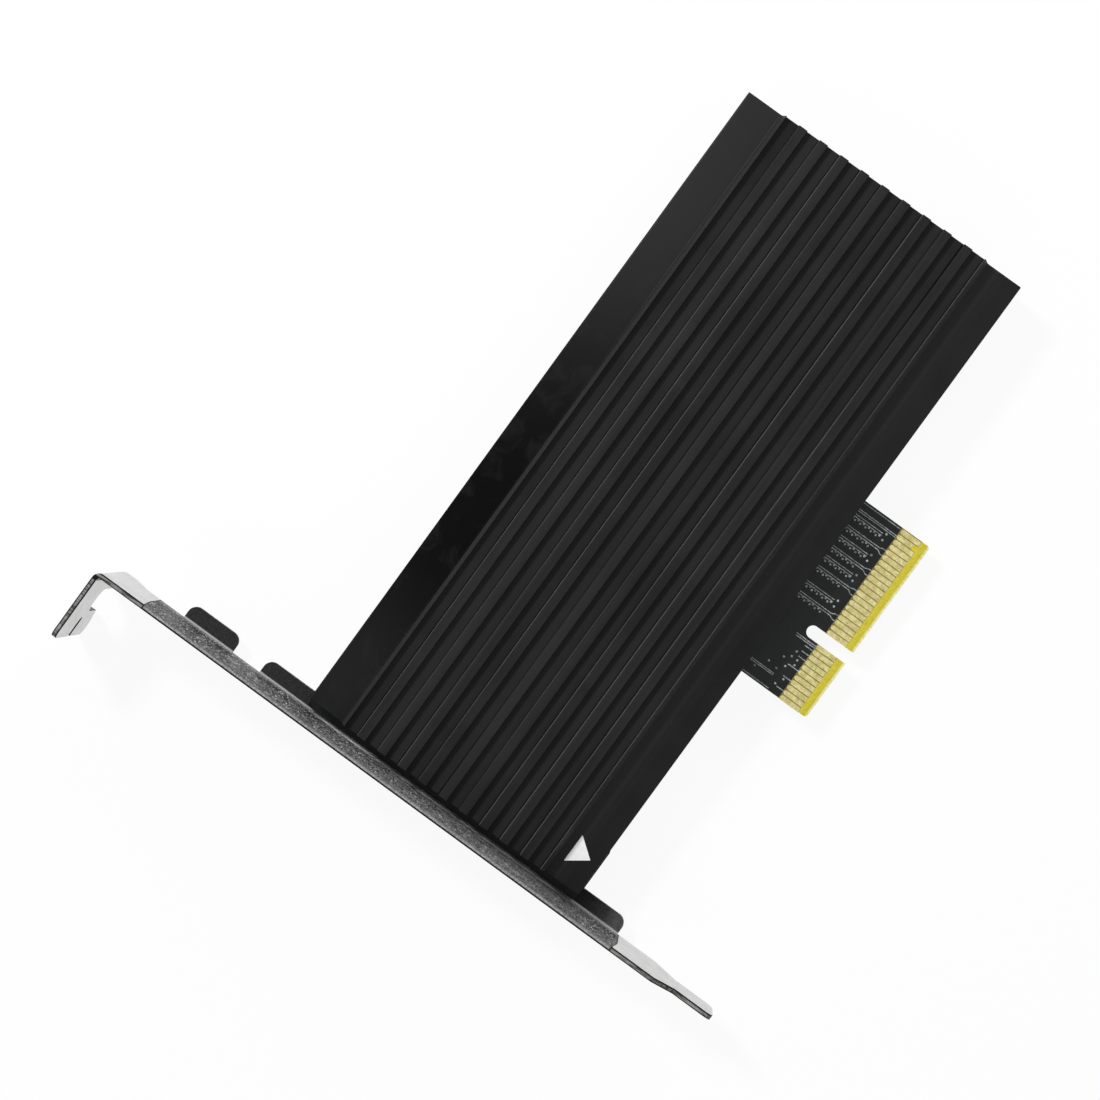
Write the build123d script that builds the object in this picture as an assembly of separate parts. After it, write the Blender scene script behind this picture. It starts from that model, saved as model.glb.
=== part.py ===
"""Adapter card that carries one solid-state drive module in a four-lane expansion slot.

Drawing frame used below: X runs from the outer face of the bracket to the far end of the card,
Y runs up the bracket and is 0 on top of its flange, Z runs out of the board's component side and
is 0 at the low edge of the bracket. Every part is moved by ORIGIN when it is written, so that the
kept frame has its origin at the middle of the footprint, on the surface that the card rests on.
"""
import math
import os

from build123d import *

# Bracket: one folded sheet
SHEET = 0.86
BRACKET_HEIGHT = 120.02
PLATE_WIDTH = 18.42
FLANGE_WIDTH = 21.59
FLANGE_LENGTH = 11.9
FOLD_INNER_RADIUS = 0.5
SHOULDER_DROP = 3.4
SHOULDER_END_DROP = 6.0
TAPER_START_DROP = 108.6
TAPER_END_DROP = 112.6
FOOT_WIDTH = 10.19
FOOT_CORNER_RADIUS = 1.6
NOTCH_WIDTH = 4.42
NOTCH_CENTRE = 4.75
NOTCH_DEPTH = 9.5
SLIT_WIDTH = 1.6
SLIT_LENGTH = 3.8
SLIT_ABOVE_LOW_EDGE = 10.4
HOOK_CORNER_RADIUS = 1.5
HOOK_BEVEL_LENGTH = 2.6
HOOK_BEVEL_WIDTH = 1.8

# Lips along the bracket's low edge, and the lugs that the long one carries under the board
LIP_REACH = 3.75
LIP_CORNER_RADIUS = 1.6
SPARE_LIP_TOP_DROP = 13.5
SPARE_LIP_LENGTH = 9.8
LONG_LIP_TOP_DROP = 28.8
LONG_LIP_END_DROP = 101.0
LUG_REACH = 12.2
LUG_WIDTH = 9.6

# Board
BOARD_THICKNESS = 1.57
BOARD_END_GAP = 0.5
BOARD_TOP_DROP = 38.3
BOARD_HEIGHT = 53.7
BOARD_LENGTH = 121.55
BOARD_CORNER_RADIUS = 0.6

# Edge connector
CONTACT_PITCH = 1.0
CONTACTS_NEAR = 11
CONTACTS_FAR = 21
CONTACT_WIDTH = 0.84
CONTACT_LENGTH = 3.8
CONTACT_THICKNESS = 0.04
CONTACT_END_FACETS = 6
SHORT_CONTACT_CUT = 0.85
KEY_PITCHES = 3
KEY_WIDTH = 2.15
KEY_DEPTH = 8.3
TONGUE_START = 47.4
TONGUE_NEAR_MARGIN = 0.36
TONGUE_FAR_MARGIN = 0.6
TONGUE_LENGTH = 12.9
TONGUE_CORNER_RADIUS = 0.5
BEVEL_LENGTH = 1.6
BEVEL_DEPTH = 0.5

# Finned cover: one extruded profile
COVER_SETBACK = 1.85
COVER_EDGE_INSET = 0.2
COVER_FLAT_HEIGHT = 6.57
BLOCK_RISE = 3.0
BLOCK_SLOPE_RUN = 0.75
BLOCK_RIDGE = 0.15
FIN_COUNT = 9
FIN_WIDTH = 1.6
GROOVE_WIDTH = 2.42
GROOVE_DEPTH = 1.2
FIN_CHAMFER = 0.14
COVER_EDGE_CHAMFER = 0.25
CHANNEL_WIDTH = 36.0
CHANNEL_HEIGHT = 5.9

# Screws
COVER_SCREW_RADIUS = 1.5
COVER_SCREW_LENGTH = 5.4
COVER_SCREW_HEAD_RADIUS = 2.75
COVER_SCREW_HEAD_HEIGHT = 1.7
COVER_SCREW_HEAD_CHAMFER = 0.6
SCREW_CLEARANCE = 0.1
THREAD_CLEARANCE = 0.05
TAPPED_HOLE_EXTRA = 0.8
LUG_SCREW_DISTANCE = 7.6
MIDDLE_SCREW_DISTANCE = 62.0
FAR_SCREW_INSET = 6.5
RECESS_REACH = 1.5
RECESS_SLOT = 0.5
RECESS_DEPTH = 0.9

# Module socket
SOCKET_FRONT = 24.7
SOCKET_DEPTH = 8.7
SOCKET_WIDTH = 21.9
SOCKET_HEIGHT = 4.2
SOCKET_END_WALL = 1.0
SOCKET_MOUTH_DEPTH = 4.8
SOCKET_MOUTH_FLOOR = 1.9
SOCKET_MOUTH_HEIGHT = 1.2
SOCKET_CONTACT_RECESS = 0.35
SOCKET_LIP = 1.2
SOCKET_BACK_RECESS = 0.6
KEY_RIB_WIDTH = 1.1
KEY_RIB_OFFSET = 6.125
PIN_PITCH = 0.5
UPPER_PIN_COUNT = 37
LOWER_PIN_COUNT = 38
KEYED_PIN_COUNT = 4
PIN_COUNT_AFTER_KEY = 5
PIN_WIDTH = 0.2
PIN_THICKNESS = 0.14
PIN_TAIL = 1.0
PIN_CLEARANCE = 0.08
PIN_END_GAP = 0.4
ANCHOR_WIDTH = 1.6
ANCHOR_LENGTH = 2.6
ANCHOR_THICKNESS = 0.2
ANCHOR_HEIGHT = 1.6

# Module support
MODULE_LENGTHS = (30.0, 42.0, 60.0, 80.0)
MODULE_WIDTH = 22.0
MODULE_EDGE_DEPTH = 4.3
STANDOFF_RADIUS = 2.25
STANDOFF_SHANK_RADIUS = 1.5
STANDOFF_HEIGHT = 2.45
STANDOFF_HOLE_RADIUS = 1.05
STANDOFF_FLANGE_RADIUS = 2.9
STANDOFF_FLANGE_HEIGHT = 0.5
MODULE_SCREW_RADIUS = 1.0
MODULE_SCREW_LENGTH = 2.6
MODULE_SCREW_HEAD_RADIUS = 2.4
MODULE_SCREW_HEAD_HEIGHT = 0.8

# Thermal pad under the cover
PAD_LENGTH = 70.0
PAD_WIDTH = 20.0
PAD_THICKNESS = 1.0
PAD_CORNER_RADIUS = 1.0

# Power supply and small components, in the strips beside the module
STRIP_CENTRE = 14.4
REGULATOR_DISTANCE = 46.0
REGULATOR_LENGTH = 4.9
REGULATOR_WIDTH = 3.9
REGULATOR_HEIGHT = 1.5
REGULATOR_STANDOFF = 0.12
LEAD_PITCH = 1.27
LEAD_COUNT = 4
LEAD_WIDTH = 0.42
LEAD_THICKNESS = 0.2
LEAD_REACH = 1.05
INDUCTOR_DISTANCE = 34.0
INDUCTOR_SIZE = 6.2
INDUCTOR_HEIGHT = 2.8
INDUCTOR_CORNER = 1.2
BULK_LENGTH = 3.5
BULK_WIDTH = 2.8
BULK_HEIGHT = 1.9
BULK_DISTANCES = (56.0, 62.5, 69.0)
FUSE_DISTANCE = 26.5
FUSE_LENGTH = 3.2
FUSE_WIDTH = 1.6
FUSE_HEIGHT = 0.7
CAPACITOR_LENGTH = 1.6
CAPACITOR_WIDTH = 0.8
CAPACITOR_HEIGHT = 0.8
CAPACITOR_DISTANCES = (28.0, 31.0, 34.0, 48.0, 51.0, 54.0, 74.0, 77.0)
RESISTOR_LENGTH = 1.6
RESISTOR_WIDTH = 0.8
RESISTOR_HEIGHT = 0.45
RESISTOR_DISTANCES = (40.0, 43.0, 58.0, 61.0)
LED_END_INSET = 8.0
LED_RESISTOR_GAP = 4.0
LED_LENGTH = 2.0
LED_WIDTH = 1.25
LED_HEIGHT = 0.75
LED_DOME = 0.2

# Tools that cut run this far past the surface
CUT_MARGIN = 1.0

# Places worked out from the sizes above
LOW_EDGE = PLATE_WIDTH - FLANGE_WIDTH
BOARD_BOTTOM = SHEET
BOARD_TOP = BOARD_BOTTOM + BOARD_THICKNESS
BOARD_START = SHEET + BOARD_END_GAP
BOARD_END = BOARD_START + BOARD_LENGTH
BOARD_HIGH_Y = -BOARD_TOP_DROP
BOARD_LOW_Y = BOARD_HIGH_Y - BOARD_HEIGHT
BOARD_MIDDLE_Y = (BOARD_HIGH_Y + BOARD_LOW_Y) / 2
CONTACT_SPAN = (CONTACTS_NEAR - 1 + KEY_PITCHES + CONTACTS_FAR - 1) * CONTACT_PITCH
TONGUE_WIDTH = TONGUE_NEAR_MARGIN + CONTACT_SPAN + TONGUE_FAR_MARGIN
TONGUE_TIP_Y = BOARD_LOW_Y - TONGUE_LENGTH
FIRST_CONTACT = TONGUE_START + TONGUE_NEAR_MARGIN
KEY_CENTRE = FIRST_CONTACT + (CONTACTS_NEAR - 1 + KEY_PITCHES / 2) * CONTACT_PITCH
COVER_START = BOARD_START + COVER_SETBACK
COVER_LENGTH = BOARD_END - COVER_START
COVER_WIDTH = BOARD_HEIGHT - 2 * COVER_EDGE_INSET
FINS_WIDTH = FIN_COUNT * FIN_WIDTH + (FIN_COUNT + 1) * GROOVE_WIDTH
RAIL_WIDTH = (COVER_WIDTH - CHANNEL_WIDTH) / 2
RAIL_OFFSET = (CHANNEL_WIDTH + RAIL_WIDTH) / 2
SCREW_ROWS = (BOARD_MIDDLE_Y + RAIL_OFFSET, BOARD_MIDDLE_Y - RAIL_OFFSET)
COVER_SCREW_DISTANCES = (MIDDLE_SCREW_DISTANCE, BOARD_END - FAR_SCREW_INSET)
MODULE_EDGE = SOCKET_FRONT - MODULE_EDGE_DEPTH
STANDOFF_DISTANCE = MODULE_EDGE + MODULE_LENGTHS[-1]
LED_DISTANCE = BOARD_END - LED_END_INSET
ORIGIN = Location(((FLANGE_LENGTH - BOARD_END) / 2, BRACKET_HEIGHT / 2, -LOW_EDGE))


def prism(face, depth, place):
    """A face drawn on the plane `place`, extruded along that plane's normal."""
    return extrude(place * face, depth)


def plate(x, y, z, length, width, height):
    """A block that stands on z, centred on x and y."""
    return Pos(x, y, z + height / 2) * Box(length, width, height)


def post(x, y, z, radius, height):
    """A cylinder that stands on z."""
    return Pos(x, y, z + height / 2) * Cylinder(radius, height)


def corner(shape, *place):
    """The corner of a flat outline nearest to a place."""
    return shape.vertices().sort_by_distance((*place, 0))[0]


def write(name, shapes):
    """Write one sub-part, of one solid or a group of separate solids."""
    solids = shapes if isinstance(shapes, list) else [shapes]
    moved = [ORIGIN * solid for shape in solids for solid in shape.solids()]
    export_step(moved[0] if len(moved) == 1 else Compound(children=moved), f"parts/{name}.step")


def folded_sheet():
    """The flange and the plate as one bent strip, before their outlines are cut."""
    outer_radius = FOLD_INNER_RADIUS + SHEET
    outside = Polyline((-FLANGE_LENGTH, 0), (SHEET, 0), (SHEET, -BRACKET_HEIGHT),
                       (0, -BRACKET_HEIGHT), (0, -SHEET), (-FLANGE_LENGTH, -SHEET), close=True)
    profile = make_face(outside)
    profile = fillet(corner(profile, SHEET, 0), outer_radius)
    profile = fillet(corner(profile, 0, -SHEET), FOLD_INNER_RADIUS)
    return prism(profile, FLANGE_WIDTH, Plane.XY.offset(LOW_EDGE))


def plate_outline():
    """The outline of the upright plate, seen along X: shoulder, straight sides and tapered foot."""
    foot_low = (PLATE_WIDTH - FOOT_WIDTH) / 2
    foot_high = foot_low + FOOT_WIDTH
    outline = Polyline((CUT_MARGIN, LOW_EDGE), (-SHOULDER_DROP, LOW_EDGE), (-SHOULDER_END_DROP, 0),
                       (-TAPER_START_DROP, 0), (-TAPER_END_DROP, foot_low),
                       (-BRACKET_HEIGHT, foot_low), (-BRACKET_HEIGHT, foot_high),
                       (-TAPER_END_DROP, foot_high), (-TAPER_START_DROP, PLATE_WIDTH),
                       (CUT_MARGIN, PLATE_WIDTH), close=True)
    face = make_face(outline)
    for place in ((-BRACKET_HEIGHT, foot_low), (-BRACKET_HEIGHT, foot_high),
                  (-SHOULDER_DROP, LOW_EDGE), (-SHOULDER_END_DROP, 0)):
        face = fillet(corner(face, *place), FOOT_CORNER_RADIUS)
    return face


def flange_outline():
    """The outline of the flange, seen along Y: screw notch, tip slit and rounded corners."""
    bevel_start = -NOTCH_CENTRE - NOTCH_WIDTH / 2
    blank = make_face(Polyline((SHEET + CUT_MARGIN, LOW_EDGE), (bevel_start, LOW_EDGE),
                               (bevel_start, LOW_EDGE + HOOK_BEVEL_WIDTH),
                               (bevel_start - HOOK_BEVEL_LENGTH, LOW_EDGE), (-FLANGE_LENGTH, LOW_EDGE),
                               (-FLANGE_LENGTH, PLATE_WIDTH), (SHEET + CUT_MARGIN, PLATE_WIDTH),
                               close=True))
    for height in (LOW_EDGE, PLATE_WIDTH):
        blank = fillet(corner(blank, -FLANGE_LENGTH, height), HOOK_CORNER_RADIUS)
    straight = NOTCH_DEPTH - NOTCH_WIDTH / 2
    notch = Pos(-NOTCH_CENTRE, LOW_EDGE + straight / 2) * Rectangle(NOTCH_WIDTH, straight)
    notch += Pos(-NOTCH_CENTRE, LOW_EDGE + straight) * Circle(NOTCH_WIDTH / 2)
    slit_height = LOW_EDGE + SLIT_ABOVE_LOW_EDGE
    slit_run = SLIT_LENGTH - SLIT_WIDTH / 2
    slit = Pos(-FLANGE_LENGTH + slit_run / 2, slit_height) * Rectangle(slit_run, SLIT_WIDTH)
    slit += Pos(-FLANGE_LENGTH + slit_run, slit_height) * Circle(SLIT_WIDTH / 2)
    return blank - notch - slit


def lip(high_y, low_y):
    """A lip that is folded in from the plate's low edge, between two heights."""
    outer_radius = FOLD_INNER_RADIUS + SHEET
    length = high_y - low_y
    top = outer_radius + FOLD_INNER_RADIUS
    section = Polyline((0, top), (0, 0), (LIP_REACH, 0), (LIP_REACH, SHEET), (SHEET, SHEET),
                       (SHEET, top), close=True)
    profile = make_face(section)
    profile = fillet(corner(profile, 0, 0), outer_radius)
    profile = fillet(corner(profile, SHEET, SHEET), FOLD_INNER_RADIUS)
    strip = prism(profile, length, Plane.XZ.offset(-high_y))
    upright = strip.edges().filter_by(Axis.Z).group_by(Axis.X)[-1]
    return fillet(upright, LIP_CORNER_RADIUS)


def bracket():
    """The folded bracket with its two lips, and two drilled lugs under the board."""
    sheet = folded_sheet()
    depth = FLANGE_LENGTH + SHEET + 2 * CUT_MARGIN
    side = prism(plate_outline(), depth, Plane.YZ.offset(-FLANGE_LENGTH - CUT_MARGIN))
    top = prism(flange_outline(), SHEET, Plane.XZ)
    upright = sheet & side
    flange_zone = Pos(-FLANGE_LENGTH / 2, -SHEET / 2, PLATE_WIDTH - FLANGE_WIDTH / 2)
    flange_zone *= Box(FLANGE_LENGTH, SHEET, FLANGE_WIDTH)
    body = (upright - flange_zone) + (upright & flange_zone & top)
    spans = ((-SPARE_LIP_TOP_DROP, -SPARE_LIP_TOP_DROP - SPARE_LIP_LENGTH),
             (-LONG_LIP_TOP_DROP, -LONG_LIP_END_DROP))
    fold_height = FOLD_INNER_RADIUS + SHEET
    for high_y, low_y in spans:
        body -= plate(0, (high_y + low_y) / 2, 0, 3 * SHEET, high_y - low_y, fold_height)
        body += lip(high_y, low_y)
    for row in SCREW_ROWS:
        lug_length = LUG_REACH - SHEET - FOLD_INNER_RADIUS
        lug = plate(LUG_REACH - lug_length / 2, row, 0, lug_length, LUG_WIDTH, SHEET)
        lug = fillet(lug.edges().filter_by(Axis.Z).group_by(Axis.X)[-1], LIP_CORNER_RADIUS)
        body += lug
        body -= post(LUG_SCREW_DISTANCE, row, -CUT_MARGIN, COVER_SCREW_RADIUS + SCREW_CLEARANCE,
                     SHEET + 2 * CUT_MARGIN)
    return body


def contact_places():
    """X of every contact of the edge connector, with the drop of its lower end."""
    places = []
    for index in range(CONTACTS_NEAR + CONTACTS_FAR):
        step = index if index < CONTACTS_NEAR else index - 1 + KEY_PITCHES
        short = index == CONTACTS_NEAR + CONTACTS_FAR - 2
        places.append((FIRST_CONTACT + step * CONTACT_PITCH, SHORT_CONTACT_CUT if short else 0))
    return places


def circuit_board():
    """The board with its bevelled tongue, key slot and screw holes."""
    middle_x = (BOARD_START + BOARD_END) / 2
    main = Pos(middle_x, BOARD_MIDDLE_Y) * RectangleRounded(BOARD_LENGTH, BOARD_HEIGHT,
                                                           BOARD_CORNER_RADIUS)
    overlap = 3 * TONGUE_CORNER_RADIUS
    tongue = Pos(TONGUE_START + TONGUE_WIDTH / 2, TONGUE_TIP_Y + (TONGUE_LENGTH + overlap) / 2)
    tongue *= RectangleRounded(TONGUE_WIDTH, TONGUE_LENGTH + overlap, TONGUE_CORNER_RADIUS)
    slot_straight = KEY_DEPTH - KEY_WIDTH / 2
    key = Pos(KEY_CENTRE, TONGUE_TIP_Y + slot_straight / 2) * Rectangle(KEY_WIDTH, slot_straight)
    key += Pos(KEY_CENTRE, TONGUE_TIP_Y + slot_straight) * Circle(KEY_WIDTH / 2)
    board = prism(main + tongue - key, BOARD_THICKNESS, Plane.XY.offset(BOARD_BOTTOM))
    for height, inward in ((BOARD_TOP, -1), (BOARD_BOTTOM, 1)):
        clear = height - CUT_MARGIN * inward
        wedge = Polyline((TONGUE_TIP_Y - CUT_MARGIN, clear),
                         (TONGUE_TIP_Y - CUT_MARGIN, height + BEVEL_DEPTH * inward),
                         (TONGUE_TIP_Y, height + BEVEL_DEPTH * inward),
                         (TONGUE_TIP_Y + BEVEL_LENGTH, height),
                         (TONGUE_TIP_Y + BEVEL_LENGTH, clear), close=True)
        board -= prism(make_face(wedge), TONGUE_WIDTH + 2 * CUT_MARGIN,
                       Plane.YZ.offset(TONGUE_START - CUT_MARGIN))
    screw_hole = COVER_SCREW_RADIUS + SCREW_CLEARANCE
    drill = BOARD_THICKNESS + 2 * CUT_MARGIN
    for row in SCREW_ROWS:
        for distance in (LUG_SCREW_DISTANCE, *COVER_SCREW_DISTANCES):
            board -= post(distance, row, BOARD_BOTTOM - CUT_MARGIN, screw_hole, drill)
    for length in MODULE_LENGTHS:
        board -= post(MODULE_EDGE + length, BOARD_MIDDLE_Y, BOARD_BOTTOM - CUT_MARGIN,
                      STANDOFF_SHANK_RADIUS + THREAD_CLEARANCE, drill)
    return board


def edge_contacts(on_top):
    """The row of gold pads on one face of the tongue, round at their inner ends."""
    base = BOARD_TOP if on_top else BOARD_BOTTOM - CONTACT_THICKNESS
    low_end = TONGUE_TIP_Y + BEVEL_LENGTH
    high_end = low_end + CONTACT_LENGTH
    pads = []
    radius = CONTACT_WIDTH / 2
    for x, cut in contact_places():
        outline = [(x + radius, low_end + cut), (x - radius, low_end + cut)]
        for step in range(CONTACT_END_FACETS + 1):
            angle = math.pi * (1 - step / CONTACT_END_FACETS)
            outline.append((x + radius * math.cos(angle), high_end - radius + radius * math.sin(angle)))
        pad = make_face(Polyline(*outline, close=True))
        pads.append(prism(pad, CONTACT_THICKNESS, Plane.XY.offset(base)))
    return pads


def cover_outline():
    """Half by half the cover's section, seen along X, as points (offset from the middle, height)."""
    half = COVER_WIDTH / 2
    rise = COVER_FLAT_HEIGHT + BLOCK_RISE
    floor = rise - GROOVE_DEPTH
    edge = COVER_EDGE_CHAMFER
    ridge = FINS_WIDTH / 2 + BLOCK_RIDGE
    points = [(half, 0), (half, COVER_FLAT_HEIGHT - edge), (half - edge, COVER_FLAT_HEIGHT),
              (ridge + BLOCK_SLOPE_RUN, COVER_FLAT_HEIGHT), (ridge, rise), (FINS_WIDTH / 2, rise)]
    start = FINS_WIDTH / 2
    for index in range(FIN_COUNT + 1):
        groove_end = start - GROOVE_WIDTH
        points += [(start, floor), (groove_end, floor)]
        if index < FIN_COUNT:
            fin_end = groove_end - FIN_WIDTH
            points += [(groove_end, rise - FIN_CHAMFER), (groove_end - FIN_CHAMFER, rise),
                       (fin_end + FIN_CHAMFER, rise), (fin_end, rise - FIN_CHAMFER)]
            start = fin_end
    points += [(-FINS_WIDTH / 2, rise), (-ridge, rise), (-ridge - BLOCK_SLOPE_RUN, COVER_FLAT_HEIGHT),
               (edge - half, COVER_FLAT_HEIGHT), (-half, COVER_FLAT_HEIGHT - edge), (-half, 0)]
    channel = CHANNEL_WIDTH / 2
    points += [(-channel, 0), (-channel, CHANNEL_HEIGHT), (channel, CHANNEL_HEIGHT), (channel, 0)]
    return points


def heatsink_cover():
    """The finned cover, with blind tapped holes in its two rails."""
    section = make_face(Polyline(*cover_outline(), close=True))
    place = Plane(origin=(COVER_START, BOARD_MIDDLE_Y, BOARD_TOP), x_dir=(0, 1, 0), z_dir=(1, 0, 0))
    cover = prism(section, COVER_LENGTH, place)
    thread = COVER_SCREW_LENGTH - BOARD_THICKNESS + TAPPED_HOLE_EXTRA
    for row in SCREW_ROWS:
        for distance in (LUG_SCREW_DISTANCE, *COVER_SCREW_DISTANCES):
            cover -= post(distance, row, BOARD_TOP, COVER_SCREW_RADIUS + THREAD_CLEARANCE, thread)
    return cover


def pan_screw(x, y, seat):
    """A pan-head screw driven upwards, with its head against a seat and a cross recess."""
    head = post(x, y, seat - COVER_SCREW_HEAD_HEIGHT, COVER_SCREW_HEAD_RADIUS, COVER_SCREW_HEAD_HEIGHT)
    rim = head.edges().filter_by(GeomType.CIRCLE).sort_by(Axis.Z)[0]
    head = chamfer(rim, COVER_SCREW_HEAD_CHAMFER)
    shank = post(x, y, seat, COVER_SCREW_RADIUS, COVER_SCREW_LENGTH)
    screw = head + shank
    for length, width in ((2 * RECESS_REACH, RECESS_SLOT), (RECESS_SLOT, 2 * RECESS_REACH)):
        bottom = seat - COVER_SCREW_HEAD_HEIGHT
        screw -= plate(x, y, bottom - CUT_MARGIN, length, width, CUT_MARGIN + RECESS_DEPTH)
    return screw


def bracket_screws():
    """Two screws through the bracket's lugs and the board into the cover."""
    return [pan_screw(LUG_SCREW_DISTANCE, row, 0) for row in SCREW_ROWS]


def cover_screws():
    """Four screws through the board into the cover."""
    return [pan_screw(x, row, BOARD_BOTTOM) for x in COVER_SCREW_DISTANCES for row in SCREW_ROWS]


def socket_span():
    """Half the width between the socket's end walls."""
    return SOCKET_WIDTH / 2 - SOCKET_END_WALL


def socket_housing():
    """The moulded socket: mouth towards the module, open back, contact recesses and key rib."""
    back = SOCKET_FRONT - SOCKET_DEPTH
    y = BOARD_MIDDLE_Y
    width = 2 * socket_span()
    body = plate(back + SOCKET_DEPTH / 2, y, BOARD_TOP, SOCKET_DEPTH, SOCKET_WIDTH, SOCKET_HEIGHT)
    mouth_x = SOCKET_FRONT - SOCKET_MOUTH_DEPTH / 2
    mouth_z = BOARD_TOP + SOCKET_MOUTH_FLOOR
    body -= plate(mouth_x, y, mouth_z, SOCKET_MOUTH_DEPTH, width, SOCKET_MOUTH_HEIGHT)
    recess = SOCKET_CONTACT_RECESS
    beam = SOCKET_DEPTH - SOCKET_LIP
    body -= plate(back + beam / 2, y, mouth_z + SOCKET_MOUTH_HEIGHT, beam, width, recess)
    body -= plate(mouth_x, y, mouth_z - recess, SOCKET_MOUTH_DEPTH, width, recess)
    shaft = SOCKET_BACK_RECESS
    top = mouth_z + SOCKET_MOUTH_HEIGHT + recess
    body -= plate(back + shaft / 2, y, BOARD_TOP, shaft, width, top - BOARD_TOP)
    toe = PIN_THICKNESS + 2 * PIN_CLEARANCE
    body -= plate(SOCKET_FRONT - toe / 2, y, BOARD_TOP, toe, width, SOCKET_MOUTH_FLOOR)
    rib_y = y - KEY_RIB_OFFSET
    body += plate(mouth_x - toe / 2, rib_y, mouth_z - recess, SOCKET_MOUTH_DEPTH - toe,
                  KEY_RIB_WIDTH, SOCKET_MOUTH_HEIGHT + 2 * recess)
    return body


def pin_places(count, shift):
    """Y of the contacts in one row, without the keyed positions."""
    keyed = range(count - PIN_COUNT_AFTER_KEY - KEYED_PIN_COUNT, count - PIN_COUNT_AFTER_KEY)
    first = BOARD_MIDDLE_Y + (LOWER_PIN_COUNT - 1) / 2 * PIN_PITCH + shift
    return [first - index * PIN_PITCH for index in range(count) if index not in keyed]


def bent_pin(points, y):
    """A flat contact spring, from its side profile (x, z)."""
    profile = make_face(Polyline(*points, close=True))
    return prism(profile, PIN_WIDTH, Plane.XZ.offset(-y - PIN_WIDTH / 2))


def socket_contacts():
    """Both rows of contact springs, with their soldered tails."""
    t = PIN_THICKNESS
    back = SOCKET_FRONT - SOCKET_DEPTH
    riser = back + PIN_CLEARANCE
    upper = BOARD_TOP + SOCKET_MOUTH_FLOOR + SOCKET_MOUTH_HEIGHT + PIN_CLEARANCE
    upper_end = SOCKET_FRONT - SOCKET_LIP - PIN_END_GAP
    tail = riser - PIN_TAIL
    upper_profile = [(tail, BOARD_TOP), (riser + t, BOARD_TOP), (riser + t, upper), (upper_end, upper),
                     (upper_end, upper + t), (riser, upper + t), (riser, BOARD_TOP + t),
                     (tail, BOARD_TOP + t)]
    lower = BOARD_TOP + SOCKET_MOUTH_FLOOR - PIN_CLEARANCE - t
    front = SOCKET_FRONT - PIN_CLEARANCE
    lower_start = SOCKET_FRONT - SOCKET_MOUTH_DEPTH + PIN_END_GAP
    toe = front + PIN_TAIL
    lower_profile = [(lower_start, lower), (front - t, lower), (front - t, BOARD_TOP),
                     (toe, BOARD_TOP), (toe, BOARD_TOP + t), (front, BOARD_TOP + t),
                     (front, lower + t), (lower_start, lower + t)]
    pins = [bent_pin(upper_profile, y) for y in pin_places(UPPER_PIN_COUNT, -PIN_PITCH / 2)]
    return pins + [bent_pin(lower_profile, y) for y in pin_places(LOWER_PIN_COUNT, 0)]


def socket_anchors():
    """The two solder lugs that hold the socket down at its ends."""
    anchors = []
    x = SOCKET_FRONT - SOCKET_DEPTH / 2
    for side in (1, -1):
        wall = BOARD_MIDDLE_Y + side * SOCKET_WIDTH / 2
        foot = plate(x, wall + side * ANCHOR_WIDTH / 2, BOARD_TOP, ANCHOR_LENGTH, ANCHOR_WIDTH,
                     ANCHOR_THICKNESS)
        upright = plate(x, wall + side * ANCHOR_THICKNESS / 2, BOARD_TOP, ANCHOR_LENGTH,
                        ANCHOR_THICKNESS, ANCHOR_HEIGHT)
        anchors.append(foot + upright)
    return anchors


def module_standoff():
    """The turned standoff that is set in the board for the longest module."""
    x, y = STANDOFF_DISTANCE, BOARD_MIDDLE_Y
    body = post(x, y, BOARD_TOP, STANDOFF_RADIUS, STANDOFF_HEIGHT)
    body += post(x, y, BOARD_TOP, STANDOFF_FLANGE_RADIUS, STANDOFF_FLANGE_HEIGHT)
    body += post(x, y, BOARD_BOTTOM, STANDOFF_SHANK_RADIUS, BOARD_THICKNESS)
    drill = BOARD_THICKNESS + STANDOFF_HEIGHT + 2 * CUT_MARGIN
    return body - post(x, y, BOARD_BOTTOM - CUT_MARGIN, STANDOFF_HOLE_RADIUS, drill)


def module_screw():
    """The flat-head screw that holds the free end of a module on its standoff."""
    x, y = STANDOFF_DISTANCE, BOARD_MIDDLE_Y
    seat = BOARD_TOP + STANDOFF_HEIGHT
    head = post(x, y, seat, MODULE_SCREW_HEAD_RADIUS, MODULE_SCREW_HEAD_HEIGHT)
    head = chamfer(head.edges().filter_by(GeomType.CIRCLE).sort_by(Axis.Z)[-1], 0.25)
    screw = head + post(x, y, seat - MODULE_SCREW_LENGTH, MODULE_SCREW_RADIUS, MODULE_SCREW_LENGTH)
    top = seat + MODULE_SCREW_HEAD_HEIGHT
    for length, width in ((2 * RECESS_REACH, RECESS_SLOT), (RECESS_SLOT, 2 * RECESS_REACH)):
        screw -= plate(x, y, top - RECESS_DEPTH / 2, length, width, RECESS_DEPTH)
    return screw


def thermal_pad():
    """The soft pad stuck under the cover, above the module's chips."""
    x = (MODULE_EDGE + STANDOFF_DISTANCE) / 2
    pad = Pos(x, BOARD_MIDDLE_Y) * RectangleRounded(PAD_LENGTH, PAD_WIDTH, PAD_CORNER_RADIUS)
    return prism(pad, PAD_THICKNESS, Plane.XY.offset(BOARD_TOP + CHANNEL_HEIGHT - PAD_THICKNESS))


def strip_y(side):
    """Middle of the component strip above (1) or below (-1) the module."""
    return BOARD_MIDDLE_Y + side * STRIP_CENTRE


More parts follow.
